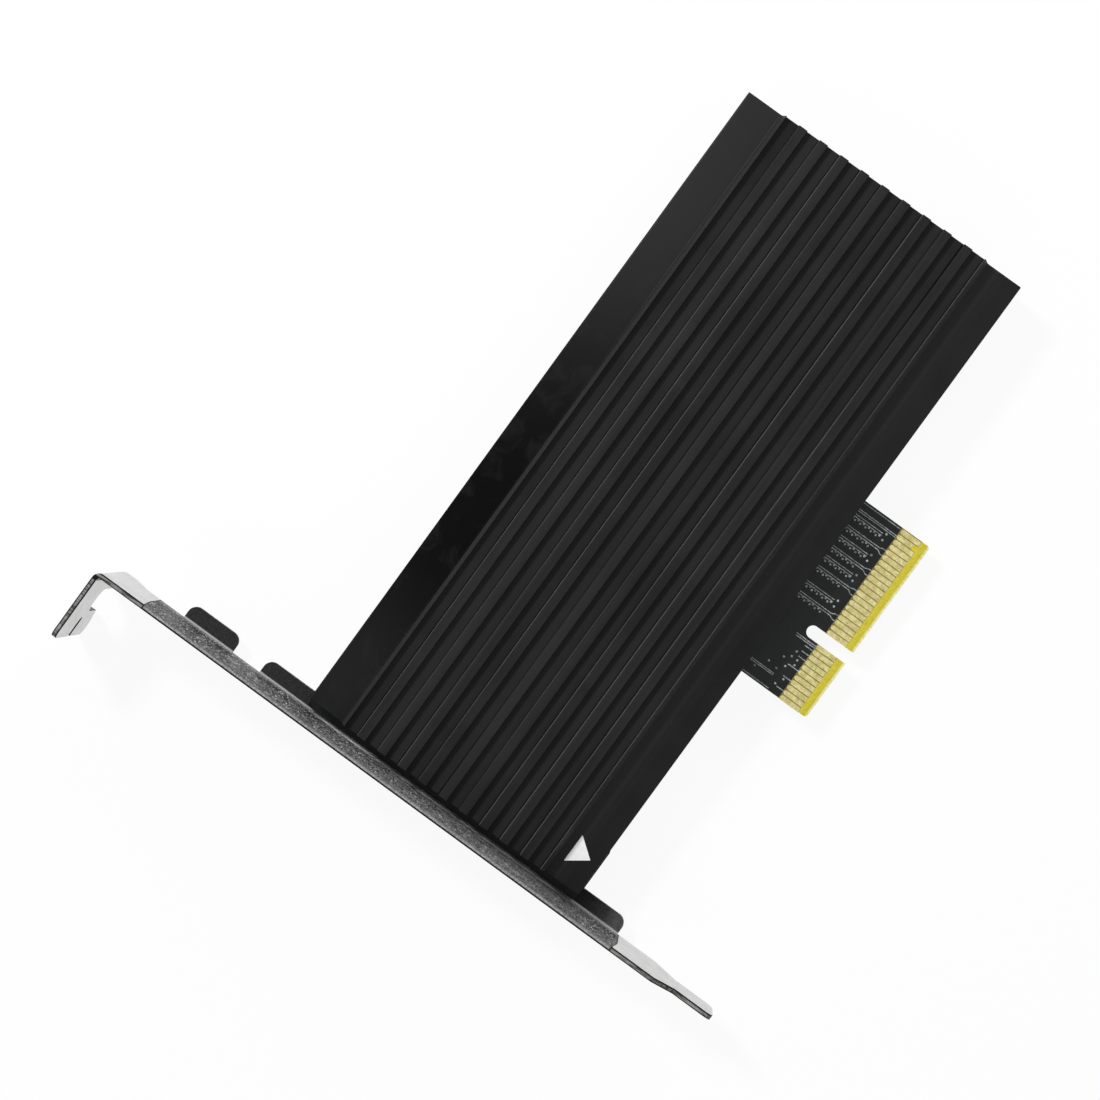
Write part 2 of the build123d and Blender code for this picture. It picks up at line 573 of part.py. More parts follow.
def regulator_body():
    """The moulded package of the voltage regulator."""
    body = plate(REGULATOR_DISTANCE, strip_y(1), BOARD_TOP + REGULATOR_STANDOFF, REGULATOR_LENGTH,
                 REGULATOR_WIDTH, REGULATOR_HEIGHT - REGULATOR_STANDOFF)
    return chamfer(body.faces().sort_by(Axis.Z)[-1].edges(), 0.2)


def regulator_leads():
    """The gull-wing leads on both sides of the regulator."""
    leads = []
    level = BOARD_TOP + REGULATOR_HEIGHT / 2
    for side in (1, -1):
        edge = strip_y(1) + side * REGULATOR_WIDTH / 2
        bend = edge + side * 0.35
        toe = edge + side * LEAD_REACH
        near = bend - side * LEAD_THICKNESS
        profile = [(edge, level), (bend, level), (bend, BOARD_TOP + LEAD_THICKNESS),
                   (toe, BOARD_TOP + LEAD_THICKNESS), (toe, BOARD_TOP), (near, BOARD_TOP),
                   (near, level - LEAD_THICKNESS), (edge, level - LEAD_THICKNESS)]
        for index in range(LEAD_COUNT):
            x = REGULATOR_DISTANCE + (index - (LEAD_COUNT - 1) / 2) * LEAD_PITCH
            face = make_face(Polyline(*profile, close=True))
            leads.append(prism(face, LEAD_WIDTH, Plane.YZ.offset(x - LEAD_WIDTH / 2)))
    return leads


def power_inductor():
    """The moulded choke of the power supply."""
    choke = plate(INDUCTOR_DISTANCE, strip_y(1), BOARD_TOP, INDUCTOR_SIZE, INDUCTOR_SIZE,
                  INDUCTOR_HEIGHT)
    return chamfer(choke.edges().filter_by(Axis.Z), INDUCTOR_CORNER)


def chips(distances, side, size):
    """Block-shaped components in one strip."""
    return [plate(x, strip_y(side), BOARD_TOP, *size) for x in distances]


def status_led():
    """The indicator lamp near the far end."""
    lamp = plate(LED_DISTANCE, strip_y(1), BOARD_TOP, LED_LENGTH, LED_WIDTH, LED_HEIGHT - LED_DOME)
    lens = plate(LED_DISTANCE, strip_y(1), BOARD_TOP, LED_LENGTH * 0.6, LED_WIDTH, LED_HEIGHT)
    return lamp + lens


def main():
    os.makedirs("parts", exist_ok=True)
    write("bracket", bracket())
    write("circuit_board", circuit_board())
    write("edge_contacts_top", edge_contacts(True))
    write("edge_contacts_bottom", edge_contacts(False))
    write("heatsink_cover", heatsink_cover())
    write("bracket_screws", bracket_screws())
    write("cover_screws", cover_screws())
    write("module_socket_housing", socket_housing())
    write("module_socket_contacts", socket_contacts())
    write("module_socket_anchors", socket_anchors())
    write("module_standoff", module_standoff())
    write("module_screw", module_screw())
    write("thermal_pad", thermal_pad())
    write("regulator_body", regulator_body())
    write("regulator_leads", regulator_leads())
    write("power_inductor", power_inductor())
    write("bulk_capacitors", chips(BULK_DISTANCES, 1, (BULK_LENGTH, BULK_WIDTH, BULK_HEIGHT)))
    write("input_fuse", chips((FUSE_DISTANCE,), 1, (FUSE_LENGTH, FUSE_WIDTH, FUSE_HEIGHT)))
    write("chip_capacitors", chips(CAPACITOR_DISTANCES, -1,
                                   (CAPACITOR_WIDTH, CAPACITOR_LENGTH, CAPACITOR_HEIGHT)))
    resistor = (RESISTOR_WIDTH, RESISTOR_LENGTH, RESISTOR_HEIGHT)
    write("chip_resistors", chips(RESISTOR_DISTANCES, -1, resistor)
          + chips((LED_DISTANCE - LED_RESISTOR_GAP,), 1, resistor))
    write("status_led", status_led())


main()
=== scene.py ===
"""Looks of the drive adapter card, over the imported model."""
import math
import random

import bmesh
import bpy
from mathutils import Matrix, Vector


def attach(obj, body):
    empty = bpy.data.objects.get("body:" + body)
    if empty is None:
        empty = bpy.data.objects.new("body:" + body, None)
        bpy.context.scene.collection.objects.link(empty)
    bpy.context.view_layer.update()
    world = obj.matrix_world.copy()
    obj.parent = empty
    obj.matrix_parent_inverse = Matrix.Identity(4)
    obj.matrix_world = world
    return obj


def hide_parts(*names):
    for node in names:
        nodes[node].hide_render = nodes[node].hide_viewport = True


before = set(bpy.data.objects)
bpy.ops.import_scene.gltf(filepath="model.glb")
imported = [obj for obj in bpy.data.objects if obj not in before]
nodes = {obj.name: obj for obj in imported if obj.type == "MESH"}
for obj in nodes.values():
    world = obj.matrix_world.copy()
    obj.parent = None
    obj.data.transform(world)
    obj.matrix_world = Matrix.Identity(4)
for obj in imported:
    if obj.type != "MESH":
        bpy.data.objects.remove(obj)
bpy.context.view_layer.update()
dice = random.Random(11)

# The card's own drawing frame, in millimetres: X from the bracket's outer face to the far end of the
# board, Y up the bracket and 0 on its flange, Z out of the cover and 0 at the bracket's low edge.
SHIFT = Vector((-55.505, 60.01, 3.17))
MM = 0.001

# Bracket, and the borders of its painted stretch, which bend along Y towards the outer edge
SHEET = 0.86
PLATE_WIDTH = 18.42
PAINT_HIGH = -8.7
PAINT_HIGH_BEND = -0.45
PAINT_LOW = -101.35
PAINT_LOW_BEND = 0.75

# Board and edge connector
BOARD_TOP = 2.43
BOARD_BOTTOM = 0.86
BOARD_END = 122.91
BOARD_HIGH = -38.3
BOARD_LOW = -92.0
BOARD_MIDDLE = -65.15
TONGUE_TIP = -104.9
BEVEL_REACH = 1.5
MASK_WINDOW = 5.5
CONTACT_HIGH = -99.5
FIRST_CONTACT = 47.76
SHORT_CONTACT_STEP = 32
SHORT_CONTACT_CUT = 0.9
KEY_CENTRE = 59.26
KEY_HALF = 1.075
KEY_TOP = -96.6

# Copper on the board: pairs of runs that reach the contacts on one face and vias on the other. They
# start at a distance above the board's low edge.
PAIRS ={"top": (63.25, 68.35, 72.3, 76.35), "bottom": (65.3, 70.4, 74.4, 78.55)}
PAIR_HALF = 0.2
RUN_START = {"top": 1.5, "bottom": 14.0}
RUN_WIDTH = 0.14
RUN_HEIGHT = 0.02
FAN_START = -98.3
FAN_END = -98.9
FAN_VIAS_END = -96.9
VIA_PAIR_END = -97.4
VIA_PAIR_VIAS_END = -97.3
CROSSING_LEVEL = -97.95
CROSSING_OFFSETS = (0.42, -0.72)
RUN_END = -99.4
FULL_RUNS = (80.95, 79.72, 79.4)
KEY_RUNS = (57.62, 57.3)
KEY_RUN_START = -95.7
KEY_RUN_GAP = 0.5
KEY_RUN_WIDTH = 0.12
SHORT_RUNS = {49.85: -96.5, 50.15: -96.5, 47.72: -97.2}
STUB_STEPS = (1, 3, 5, 7, 8, 9)
STUB_WIDTH = 0.16
STUB_LENGTHS = (0.8, 2.2)
VIA_RADIUS = 0.19
VIA_HEIGHT = 0.025
VIA_PITCH = 0.52
VIA_START = 0.4
VIA_ZIGZAG = (-0.4, -0.68)
LOOSE_VIAS = ((51.1, -96.3), (52.2, -97.3), (53.3, -96.2), (54.1, -97.2), (54.1, -98.3), (55.2, -97.4),
              (49.0, -97.6), (50.3, -98.3), (53.2, -98.4), (51.4, -94.6), (49.4, -93.2))

# Copper on the solder side: pairs that turn off to the bracket's end, stitching vias, supply runs
TURN_HIGH = -78.0
TURN_STEP = 2.0
PAIR_FAR = 30.0
PAIR_FAR_STEP = 1.5
EDGE_VIA_ROWS = (-40.6, -46.5, -83.8, -89.6)
EDGE_VIA_RADIUS = 0.24
SCREW_CLEARANCE = 4.2
MIDDLE_VIA_ROWS = (-57.5, -62.0, -68.5)
MIDDLE_VIA_RADIUS = 0.22
MIDDLE_VIA_SPREAD = 0.6
HOLE_CLEARANCE = 4.5
SUPPLY_RUNS = ((16.0, 46.0, -50.9), (16.0, 58.0, -52.3), (88.0, 114.0, -50.9))
SUPPLY_WIDTH = 0.5
SUPPLY_BEND = 2

# Finned cover, and the rounding of its edges
COVER_START = 3.21
COVER_FLAT = 9.0
COVER_HALF = 26.65
FIN_COUNT = 9
FIN_WIDTH = 1.6
FIN_TOP = 12.0
GROOVE_WIDTH = 2.42
GROOVE_FLOOR = 10.8
SLOPE_FOOT = 20.2
SLOPE_TOP = 19.45
CHANNEL_HALF = 18.0
CHANNEL_TOP = 8.33
ARC_STEPS = 5
LOW_ROUNDING = 0.1
FLAT_ROUNDING = 0.3
SLOPE_FOOT_ROUNDING = 0.35
SLOPE_TOP_ROUNDING = 0.07
OUTER_GROOVE_ROUNDING = 0.06
GROOVE_ROUNDING = 0.12
FIN_ROUNDING = 0.1
END_BEVEL = 0.06

# Screws and holes, and the inner and outer radius of the plated lands around them
SCREW_ROWS = (-42.825, -87.475)
SCREW_DISTANCES = (7.6, 62.0, 116.41)
SCREW_LAND = (1.62, 3.3)
MODULE_HOLES = (50.4, 62.4, 80.4)
STANDOFF_DISTANCE = 100.4
HOLE_LAND = (1.58, 2.75)
LAND_HEIGHT = 0.03

# Small parts on the board: X of each, Y from the board's middle, and size along X, Y and Z
STRIP_OFFSET = 14.4
CHIPS = {
    "chip_capacitors": ((28.0, 31.0, 34.0, 48.0, 51.0, 54.0, 74.0, 77.0), -STRIP_OFFSET, (0.8, 1.6, 0.8)),
    "chip_resistors": ((40.0, 43.0, 58.0, 61.0), -STRIP_OFFSET, (0.8, 1.6, 0.45)),
    "lamp_resistor": ((110.91,), STRIP_OFFSET, (0.8, 1.6, 0.45)),
    "bulk_capacitors": ((56.0, 62.5, 69.0), STRIP_OFFSET, (3.5, 2.8, 1.9)),
    "input_fuse": ((26.5,), STRIP_OFFSET, (3.2, 1.6, 0.7)),
    "status_led": ((114.91,), STRIP_OFFSET, (2.0, 1.25, 0.5)),
}
CAP_SHARE = 0.22
WIDEST_CAP = 0.5
CAP_PROUD = 0.02
SOLDER_REACH = 0.35

# Printed pointer on the cover
POINTER_CORNERS = ((11.42, -86.72), (6.32, -86.68), (8.85, -90.13))
POINTER_ROUNDING = 0.08
PRINT_HEIGHT = 0.015
PRINT_SINK = 0.004
PRINT_BEVEL = 0.005

# Studio: lamps by place in metres, size in metres and power in watts, and the photograph's camera
WHITE = (1.0, 1.0, 1.0)
WORLD_LIGHT = 0.36
FLOOR_HALF = 4.0
FLOOR_GLOW = 0.92
LAMPS = {
    "key": ((0.12, 0.42, 0.56), 0.11, 3.6),
    "fill": ((0.6, -0.05, 0.3), 0.3, 1.3),
    "rim": ((-0.42, -0.3, 0.42), 0.3, 0.4),
}
CAMERA_LENS = 101.7074
CAMERA_SENSOR = 36.0
CAMERA_RANGE = (0.01, 20.0)
CAMERA_PLACE = (59.838, -71.7232, 505.2557)
CAMERA_ANGLES = (-0.2818, 2.4858, -53.9999)

# Between these values lies nearly all of a cloudy noise
NOISE_LOW = 0.3
NOISE_HIGH = 0.7

# Stretches over which a look changes, in millimetres along the axis that ends the name, or from the
# middle of the cover
NEAR_PALE_X = (6.0, 38.0)
FAR_PALE_X = (50.0, 105.0)
FLATS_BEGIN = (19.9, 20.3)
GROOVES_END = (19.5, 19.7)
EDGE_HIGHLIGHTS_END = (18.5, 19.0)
GROOVE_FLOOR_Z = (GROOVE_FLOOR + 0.1, GROOVE_FLOOR + 0.2)
PAINT_BEND_Z = (10.0, PLATE_WIDTH)
FLANGE_X = (-0.7, -0.5)
BELOW_BOARD_Y = (BOARD_LOW - 1.0, BOARD_LOW - 6.0)
AT_BOARD_HIGH_Y = (BOARD_HIGH + 2.0, BOARD_HIGH - 10.0)
AT_BOARD_LOW_Y = (BOARD_LOW - 2.0, BOARD_LOW + 10.0)
DEEP_Z = (12.0, 3.0)
LOW_HIGHLIGHT_Z = (3.8, 2.6)
EDGE_HIGHLIGHT_Z = (14.0, 15.0)
FRINGE_Y = (TONGUE_TIP + 0.2, TONGUE_TIP + 0.5)
MASK_BORDER_Y = (TONGUE_TIP + MASK_WINDOW - 0.05, TONGUE_TIP + MASK_WINDOW + 0.05)
BEVEL_BORDER_Y = (TONGUE_TIP + BEVEL_REACH, TONGUE_TIP + BEVEL_REACH + 0.15)
TONGUE_EDGE_Y = (BOARD_LOW - 6.5, BOARD_LOW - 7.0)


def at(x, y, z):
    """A place in the card's frame, in metres in the row's frame."""
    return (Vector((x, y, z)) + SHIFT) * MM


def row_x(distance):
    """The card's X, in metres in the row's frame."""
    return (distance + SHIFT.x) * MM


def row_y(distance):
    """The card's Y, in metres in the row's frame."""
    return (distance + SHIFT.y) * MM


def row_z(distance):
    """The card's Z, in metres in the row's frame."""
    return (distance + SHIFT.z) * MM


def metres(distance):
    """A length in millimetres, in metres."""
    return distance * MM


def grey(level):
    """A colour without any tint."""
    return level, level, level


class Graph:
    """The shader nodes of a material or a world, with short calls that add and link them."""

    def __init__(self, name, owners=None, output="ShaderNodeOutputMaterial"):
        if owners is None:
            owners = bpy.data.materials
        self.owner = owners.new(name)
        self.owner.use_nodes = True
        self.tree = self.owner.node_tree
        self.tree.nodes.clear()
        self.output = self.tree.nodes.new(output)
        self.place = self.tree.nodes.new("ShaderNodeTexCoord").outputs["Object"]

    def link(self, value, socket):
        """Feed a socket from another one, or set it to a number or a colour."""
        if isinstance(value, bpy.types.NodeSocket):
            self.tree.links.new(value, socket)
        elif isinstance(value, tuple):
            socket.default_value = (*value, 1.0)
        elif value is not None:
            socket.default_value = value

    def math(self, kind, a, b=0.0):
        """One mathematical step."""
        node = self.tree.nodes.new("ShaderNodeMath")
        node.operation = kind
        self.link(a, node.inputs[0])
        self.link(b, node.inputs[1])
        return node.outputs[0]

    def times(self, first, *others):
        """The product of two or more values."""
        for other in others:
            first = self.math("MULTIPLY", first, other)
        return first

    def plus(self, a, b):
        """The sum of two values."""
        return self.math("ADD", a, b)

    def minus(self, a, b):
        """The first value less the second."""
        return self.math("SUBTRACT", a, b)

    def over(self, a, b):
        """The first value divided by the second."""
        return self.math("DIVIDE", a, b)

    def larger(self, a, b):
        """The larger of two values."""
        return self.math("MAXIMUM", a, b)

    def size(self, value):
        """A value without its sign."""
        return self.math("ABSOLUTE", value)

    def reverse(self, value):
        """1 where the value is 0, and 0 where it is 1."""
        return self.minus(1.0, value)

    def between(self, value, low, high, out_low=0.0, out_high=1.0):
        """Value brought from low..high to out_low..out_high, smoothly and held inside."""
        node = self.tree.nodes.new("ShaderNodeMapRange")
        node.interpolation_type = "SMOOTHSTEP"
        for socket, number in zip(node.inputs[:5], (value, low, high, out_low, out_high)):
            self.link(number, socket)
        return node.outputs[0]

    def fade(self, value, low, high):
        """1 up to low, falling to 0 at high."""
        return self.between(value, low, high, 1.0, 0.0)

    def ramp(self, place, unit, stretch, low=0.0, high=1.0):
        """From low to high over a stretch in millimetres, which the function unit brings to metres."""
        return self.between(place, unit(stretch[0]), unit(stretch[1]), low, high)

    def spread(self, noise, low=0.0, high=1.0):
        """A cloudy noise, brought to low..high."""
        return self.between(noise, NOISE_LOW, NOISE_HIGH, low, high)

    def stretch(self, scale, turn=(0, 0, 0)):
        """Places scaled by axis and turned, for streaks."""
        node = self.tree.nodes.new("ShaderNodeMapping")
        self.link(self.place, node.inputs["Vector"])
        node.inputs["Scale"].default_value = scale
        node.inputs["Rotation"].default_value = turn
        return node.outputs[0]

    def noise(self, scale, detail=2.0, rough=0.5, place=None, bend=0.0):
        """Cloudy noise from about 0.2 to 0.8."""
        node = self.tree.nodes.new("ShaderNodeTexNoise")
        self.link(self.place if place is None else place, node.inputs["Vector"])
        node.inputs["Scale"].default_value = scale
        node.inputs["Detail"].default_value = detail
        node.inputs["Roughness"].default_value = rough
        node.inputs["Distortion"].default_value = bend
        return node.outputs["Fac"]

    def cells(self, scale):
        """Distance from the middle of the nearest of many scattered cells."""
        node = self.tree.nodes.new("ShaderNodeTexVoronoi")
        self.link(self.place, node.inputs["Vector"])
        node.inputs["Scale"].default_value = scale
        return node.outputs["Distance"]

    def mix(self, factor, a, b):
        """Colour a where the factor is 0, and b where it is 1."""
        node = self.tree.nodes.new("ShaderNodeMix")
        node.data_type = "RGBA"
        self.link(factor, node.inputs[0])
        self.link(a, node.inputs[6])
        self.link(b, node.inputs[7])
        return node.outputs[2]

    def parts(self, vector):
        """X, Y and Z of a vector."""
        node = self.tree.nodes.new("ShaderNodeSeparateXYZ")
        self.link(vector, node.inputs[0])
        return node.outputs[0], node.outputs[1], node.outputs[2]

    def facing(self):
        """The surface's own direction in the row's frame."""
        return self.parts(self.tree.nodes.new("ShaderNodeNewGeometry").outputs["Normal"])

    def seen(self):
        """1 for what a camera, mirror or glass shows, and 0 for what only lights its surroundings."""
        rays = self.tree.nodes.new("ShaderNodeLightPath").outputs
        straight = self.larger(rays["Is Camera Ray"], rays["Is Glossy Ray"])
        return self.larger(straight, rays["Is Transmission Ray"])

    def bump(self, height, depth, strength=1.0, under=None):
        """Relief of this depth in metres, over another relief if there is one."""
        node = self.tree.nodes.new("ShaderNodeBump")
        node.inputs["Strength"].default_value = strength
        node.inputs["Distance"].default_value = depth
        self.link(height, node.inputs["Height"])
        self.link(under, node.inputs["Normal"])
        return node.outputs[0]

    def shader(self, kind, color, strength=None):
        """A plain shader of one colour."""
        node = self.tree.nodes.new(kind)
        self.link(color, node.inputs["Color"])
        if strength is not None:
            self.link(strength, node.inputs["Strength"])
        return node.outputs[0]

    def finish(self, color, rough, metal=0.0, normal=None, **more):
        """End the material in the principled shader."""
        node = self.tree.nodes.new("ShaderNodeBsdfPrincipled")
        self.link(color, node.inputs["Base Color"])
        self.link(rough, node.inputs["Roughness"])
        self.link(metal, node.inputs["Metallic"])
        self.link(normal, node.inputs["Normal"])
        for name, value in more.items():
            self.link(value, node.inputs[name.replace("_", " ")])
        self.link(node.outputs[0], self.output.inputs[0])
        return self.owner


def drawn_black(g, cloud, drawn):
    """Clouded black with broad and fine streaks along X."""
    bars = g.noise(1, 2, 0.5, g.stretch((0.4, 420, 90)))
    color = g.mix(g.spread(cloud), (0.0112, 0.0112, 0.0115), (0.017, 0.017, 0.0175))
    color = g.mix(g.times(g.between(bars, 0.35, 0.65), 0.5), color, (0.0235, 0.0235, 0.024))
    return g.mix(g.times(g.between(drawn, 0.4, 0.8), 0.3), color, (0.026, 0.026, 0.027))


def cover_flats(g, color, x, y):
    """Both flats beside the fins, the +Y one blackest halfway along, with painted light on the −Y flat along
    the slope's foot, where the raised block casts its shadow. Also says where it is blackest.
    """
    middle = row_y(BOARD_MIDDLE)
    flats = g.ramp(g.size(g.minus(y, middle)), metres, FLATS_BEGIN)
    high_flat = g.times(flats, g.math("GREATER_THAN", y, middle))
    pale = g.plus(g.ramp(x, row_x, FAR_PALE_X), g.ramp(x, row_x, NEAR_PALE_X, 0.55, 0.0))
    blot = g.between(g.noise(150, 4, 0.65, None, 0.8), 0.5, 0.68)
    painted_light_at_slope_foot = g.minus(middle - SLOPE_FOOT * MM, y)
    painted_light_at_slope_foot = g.times(g.between(painted_light_at_slope_foot, -0.2 * MM, 0.0), g.fade(painted_light_at_slope_foot, 1.2 * MM, 2.6 * MM))
    black_to_pale = g.mix(pale, (0.0008, 0.0008, 0.0009), (0.017, 0.017, 0.0173))
    color = g.mix(g.times(flats, 0.45), color, (0.005, 0.005, 0.0053))
    color = g.mix(g.times(high_flat, 0.85), color, black_to_pale)
    color = g.mix(g.times(flats, pale, 0.25), color, (0.02, 0.02, 0.0204))
    color = g.mix(g.times(high_flat, blot, 0.35), color, (0.02, 0.02, 0.0204))
    # Painted light on the −Y flat, where the raised block's shadow falls.
    color = g.mix(g.times(painted_light_at_slope_foot, 0.85), color, (0.026, 0.026, 0.0265))
    return color, g.times(high_flat, g.reverse(pale))


def groove_floors(g, off_middle, z):
    """The floors of the grooves, and the painted shade in the crease along one side of each, broken up along
    X.
    """
    floors = g.times(g.ramp(z, row_z, GROOVE_FLOOR_Z, 1.0, 0.0),
                     g.ramp(g.size(off_middle), metres, GROOVES_END, 1.0, 0.0))
    pitch = (FIN_WIDTH + GROOVE_WIDTH) * MM
    step = g.math("FRACT", g.over(g.minus(off_middle, FIN_WIDTH / 2 * MM), pitch))
    broken = g.between(g.noise(1, 1, 0.5, g.stretch((11, 300, 1))), 0.3, 0.6, 0.35, 1.0)
    return floors, g.times(floors, g.fade(step, 0.04, 0.09), broken)


def edge_highlights(g, off_middle, ny, nz):
    """Painted highlights on the rounded fin edges that face +Y, broken up in stretches."""
    broken_highlight = g.between(g.noise(1, 1, 0.5, g.stretch((9, 330, 1))), 0.38, 0.56)
    return g.times(g.between(ny, 0.2, 0.5), g.fade(ny, 0.9, 0.98), g.between(nz, 0.05, 0.3), broken_highlight,
                   g.ramp(off_middle, metres, EDGE_HIGHLIGHTS_END, 1.0, 0.0))


def anodised_black():
    """Black anodised extrusion: clouded, faintly drawn along X, with painted highlights on its long edges
    that face +Y.
    """
    g = Graph("anodised_black")
    _, ny, nz = g.facing()
    x, y, z = g.parts(g.place)
    off_middle = g.minus(y, row_y(BOARD_MIDDLE))
    cloud = g.noise(70, 4, 0.62, None, 0.6)
    drawn = g.noise(1, 3, 0.6, g.stretch((40, 6500, 6500)))
    grain = g.noise(9000, 2, 0.7)
    slope = g.times(g.between(nz, 0.1, 0.2), g.fade(nz, 0.3, 0.4))
    floors, painted_crease_shade = groove_floors(g, off_middle, z)
    speck = g.times(g.fade(g.cells(900), 0.035, 0.06), g.between(g.noise(300, 2, 0.6), 0.6, 0.68))
    scratch = g.noise(1, 2, 0.5, g.stretch((45, 3800, 1), (0, 0, 0.35)))
    scratch = g.times(g.between(scratch, 0.72, 0.76), g.between(g.noise(60, 2), 0.55, 0.62))
    color, blackest = cover_flats(g, drawn_black(g, cloud, drawn), x, y)
    # Painted light: the slope facing −Y, which the key lamp leaves in shade, is coloured lighter, and the
    # slope facing +Y gets a lighter tone of its own.
    color = g.mix(g.times(slope, g.fade(ny, -0.9, -0.7)), color, (0.042, 0.042, 0.043))
    color = g.mix(g.times(slope, g.between(ny, 0.7, 0.9)), color, (0.031, 0.031, 0.0314))
    # Painted shade: the groove floors are darker than the fin tops.
    color = g.mix(g.times(floors, 0.2), color, (0.006, 0.006, 0.0062))
    # Painted shade in the crease at the foot of each fin.
    color = g.mix(painted_crease_shade, color, grey(0.001))
    # Painted highlight along the rounded fin edges that face +Y.
    color = g.mix(g.times(edge_highlights(g, off_middle, ny, nz), 0.8), color, (0.1, 0.1, 0.102))
    color = g.mix(g.times(speck, 0.45), color, grey(0.16))
    color = g.mix(g.times(scratch, 0.35), color, grey(0.08))
    rough = g.plus(g.spread(grain, 0.34, 0.46), g.between(cloud, 0.35, 0.7, 0.0, 0.08))
    normal = g.bump(drawn, 0.02 * MM, 0.25, g.bump(grain, 0.02 * MM, 0.35))
    index = g.between(g.larger(blackest, painted_crease_shade), 0.0, 1.0, 1.16, 1.09)
    return g.finish(color, rough, 0.0, normal, IOR=index)


def painted_zone(g, y, z):
    """Where the bracket is painted, and the thin dark rim of the paint, between two wavy borders."""
    wave = g.times(g.minus(g.noise(1100, 3, 0.6), 0.5), 0.35 * MM)
    level = g.plus(y, wave)
    outward = g.ramp(z, row_z, PAINT_BEND_Z)
    high = g.plus(row_y(PAINT_HIGH), g.times(outward, PAINT_HIGH_BEND * MM))
    low = g.plus(row_y(PAINT_LOW), g.times(outward, PAINT_LOW_BEND * MM))
    depth = g.math("MINIMUM", g.minus(high, level), g.minus(level, low))
    inside = g.between(depth, -0.04 * MM, 0.04 * MM)
    return inside, g.times(inside, g.fade(depth, 0.15 * MM, 0.38 * MM))


def across_sheet(g, x, y):
    """Where the flange is, and how deep in the sheet a cut edge lies, from 0 outside to 1 inside."""
    flange = g.ramp(x, row_x, FLANGE_X, 1.0, 0.0)
    in_plate = g.over(g.minus(x, row_x(0)), SHEET * MM)
    in_flange = g.over(g.minus(row_y(0), y), SHEET * MM)
    return flange, g.plus(g.times(flange, in_flange), g.times(g.reverse(flange), in_plate))


def outer_paint(g, y, lump):
    """Sand paint on the outer face, paler below the board."""
    lumps = g.between(lump, 0.35, 0.65)
    spark = g.between(g.noise(5200, 2, 0.6), 0.57, 0.68)
    below_board = g.ramp(y, row_y, BELOW_BOARD_Y)
    color = g.mix(lumps, (0.025, 0.025, 0.0255), (0.031, 0.031, 0.0315))
    color = g.mix(g.times(spark, 0.3), color, grey(0.11))
    return g.mix(below_board, color, g.mix(lumps, grey(0.066), grey(0.085)))


def inner_zones(g, y, z, nx, sand):
    """Sand and painted glints on the inner face, the stretch at the board, the deep half and the painted
    highlight along the low edge.
    """
    tall = g.stretch((1, 1, 0.28))
    grit = g.plus(g.times(g.noise(3100, 3, 0.8, tall), 0.75), g.times(sand, 0.25))
    glint = g.between(g.noise(2900, 3, 0.75, tall), 0.56, 0.63)
    at_board = g.times(g.ramp(y, row_y, AT_BOARD_HIGH_Y), g.ramp(y, row_y, AT_BOARD_LOW_Y))
    deep = g.ramp(z, row_z, DEEP_Z)
    painted_low_highlight = g.times(g.between(nx, 0.3, 0.6), g.ramp(z, row_z, LOW_HIGHLIGHT_Z))
    painted_low_highlight = g.times(painted_low_highlight, g.between(at_board, 0.0, 1.0, 0.12, 1.0))
    return grit, glint, at_board, deep, painted_low_highlight


def inner_paint(g, zones):
    """Sand paint on the inner face, with painted light beside the board that is strongest low down, painted
    glints, and a painted highlight along its low edge.
    """
    grit, glint, at_board, deep, painted_low_highlight = zones
    sandy = g.between(grit, 0.42, 0.58)
    color = g.mix(sandy, grey(0.006), grey(0.05))
    # Painted light beside the board, strongest low down where the board and cover shade the face.
    paler = g.times(g.plus(0.45, g.times(deep, 0.55)), at_board)
    color = g.mix(paler, color, g.mix(sandy, grey(0.08), grey(0.26)))
    # Painted glints.
    color = g.mix(g.times(glint, g.between(at_board, 0.0, 1.0, 0.55, 1.0)), color, grey(0.26))
    # Painted highlight along the low edge.
    return g.mix(painted_low_highlight, color, grey(0.75))


def inner_sheen(g, zones, inner, rim):
    """How strongly the sand paint shows at a flat angle, weaker deep down away from the board, and strongest
    at the painted glints and the painted highlight along the low edge.
    """
    grit, glint, at_board, deep, painted_low_highlight = zones
    sheen = g.times(g.between(grit, 0.44, 0.56, 0.0, 0.14), g.between(at_board, 0.0, 1.0, 0.65, 1.3))
    deep_beyond = g.times(deep, g.reverse(at_board))
    sheen = g.times(sheen, g.between(deep_beyond, 0.0, 1.0, 1.0, 0.3))
    sheen = g.larger(g.larger(sheen, painted_low_highlight), g.times(glint, inner, 0.7))
    return g.times(sheen, g.reverse(g.times(rim, 0.9)))


def paint_edges(g, color, z, nx, nz, across, sand, rim):
    """Painted highlights on the bends and along the cut edge, painted shade along the cut edge's outer
    corner, where the same mask also turns the outer face near black, and the paint's dark rim.
    """
    bend = g.times(g.between(nx, 0.2, 0.5), g.between(nz, 0.2, 0.5))
    upward = g.between(nz, 0.6, 0.8)
    painted_edge_highlight = g.times(upward, g.between(across, 0.26, 0.42), g.between(across, 0.55, 0.9, 1.0, 0.4),
                    g.ramp(z, row_z, EDGE_HIGHLIGHT_Z))
    painted_outer_shade = g.larger(g.times(upward, g.fade(across, 0.2, 0.3)), g.fade(nx, -0.9, -0.3))
    # Painted highlight on the bends.
    color = g.mix(g.times(bend, 0.9), color, grey(0.4))
    # Painted highlight along the cut edge.
    color = g.mix(g.times(painted_edge_highlight, 0.8), color, g.mix(g.between(sand, 0.35, 0.65), grey(0.2), grey(0.5)))
    # Painted shade along the outer corner of the cut edge, also over the outer face, and the paint's dark
    # rim.
    return g.mix(g.larger(g.times(rim, 0.85), painted_outer_shade), color, grey(0.006))


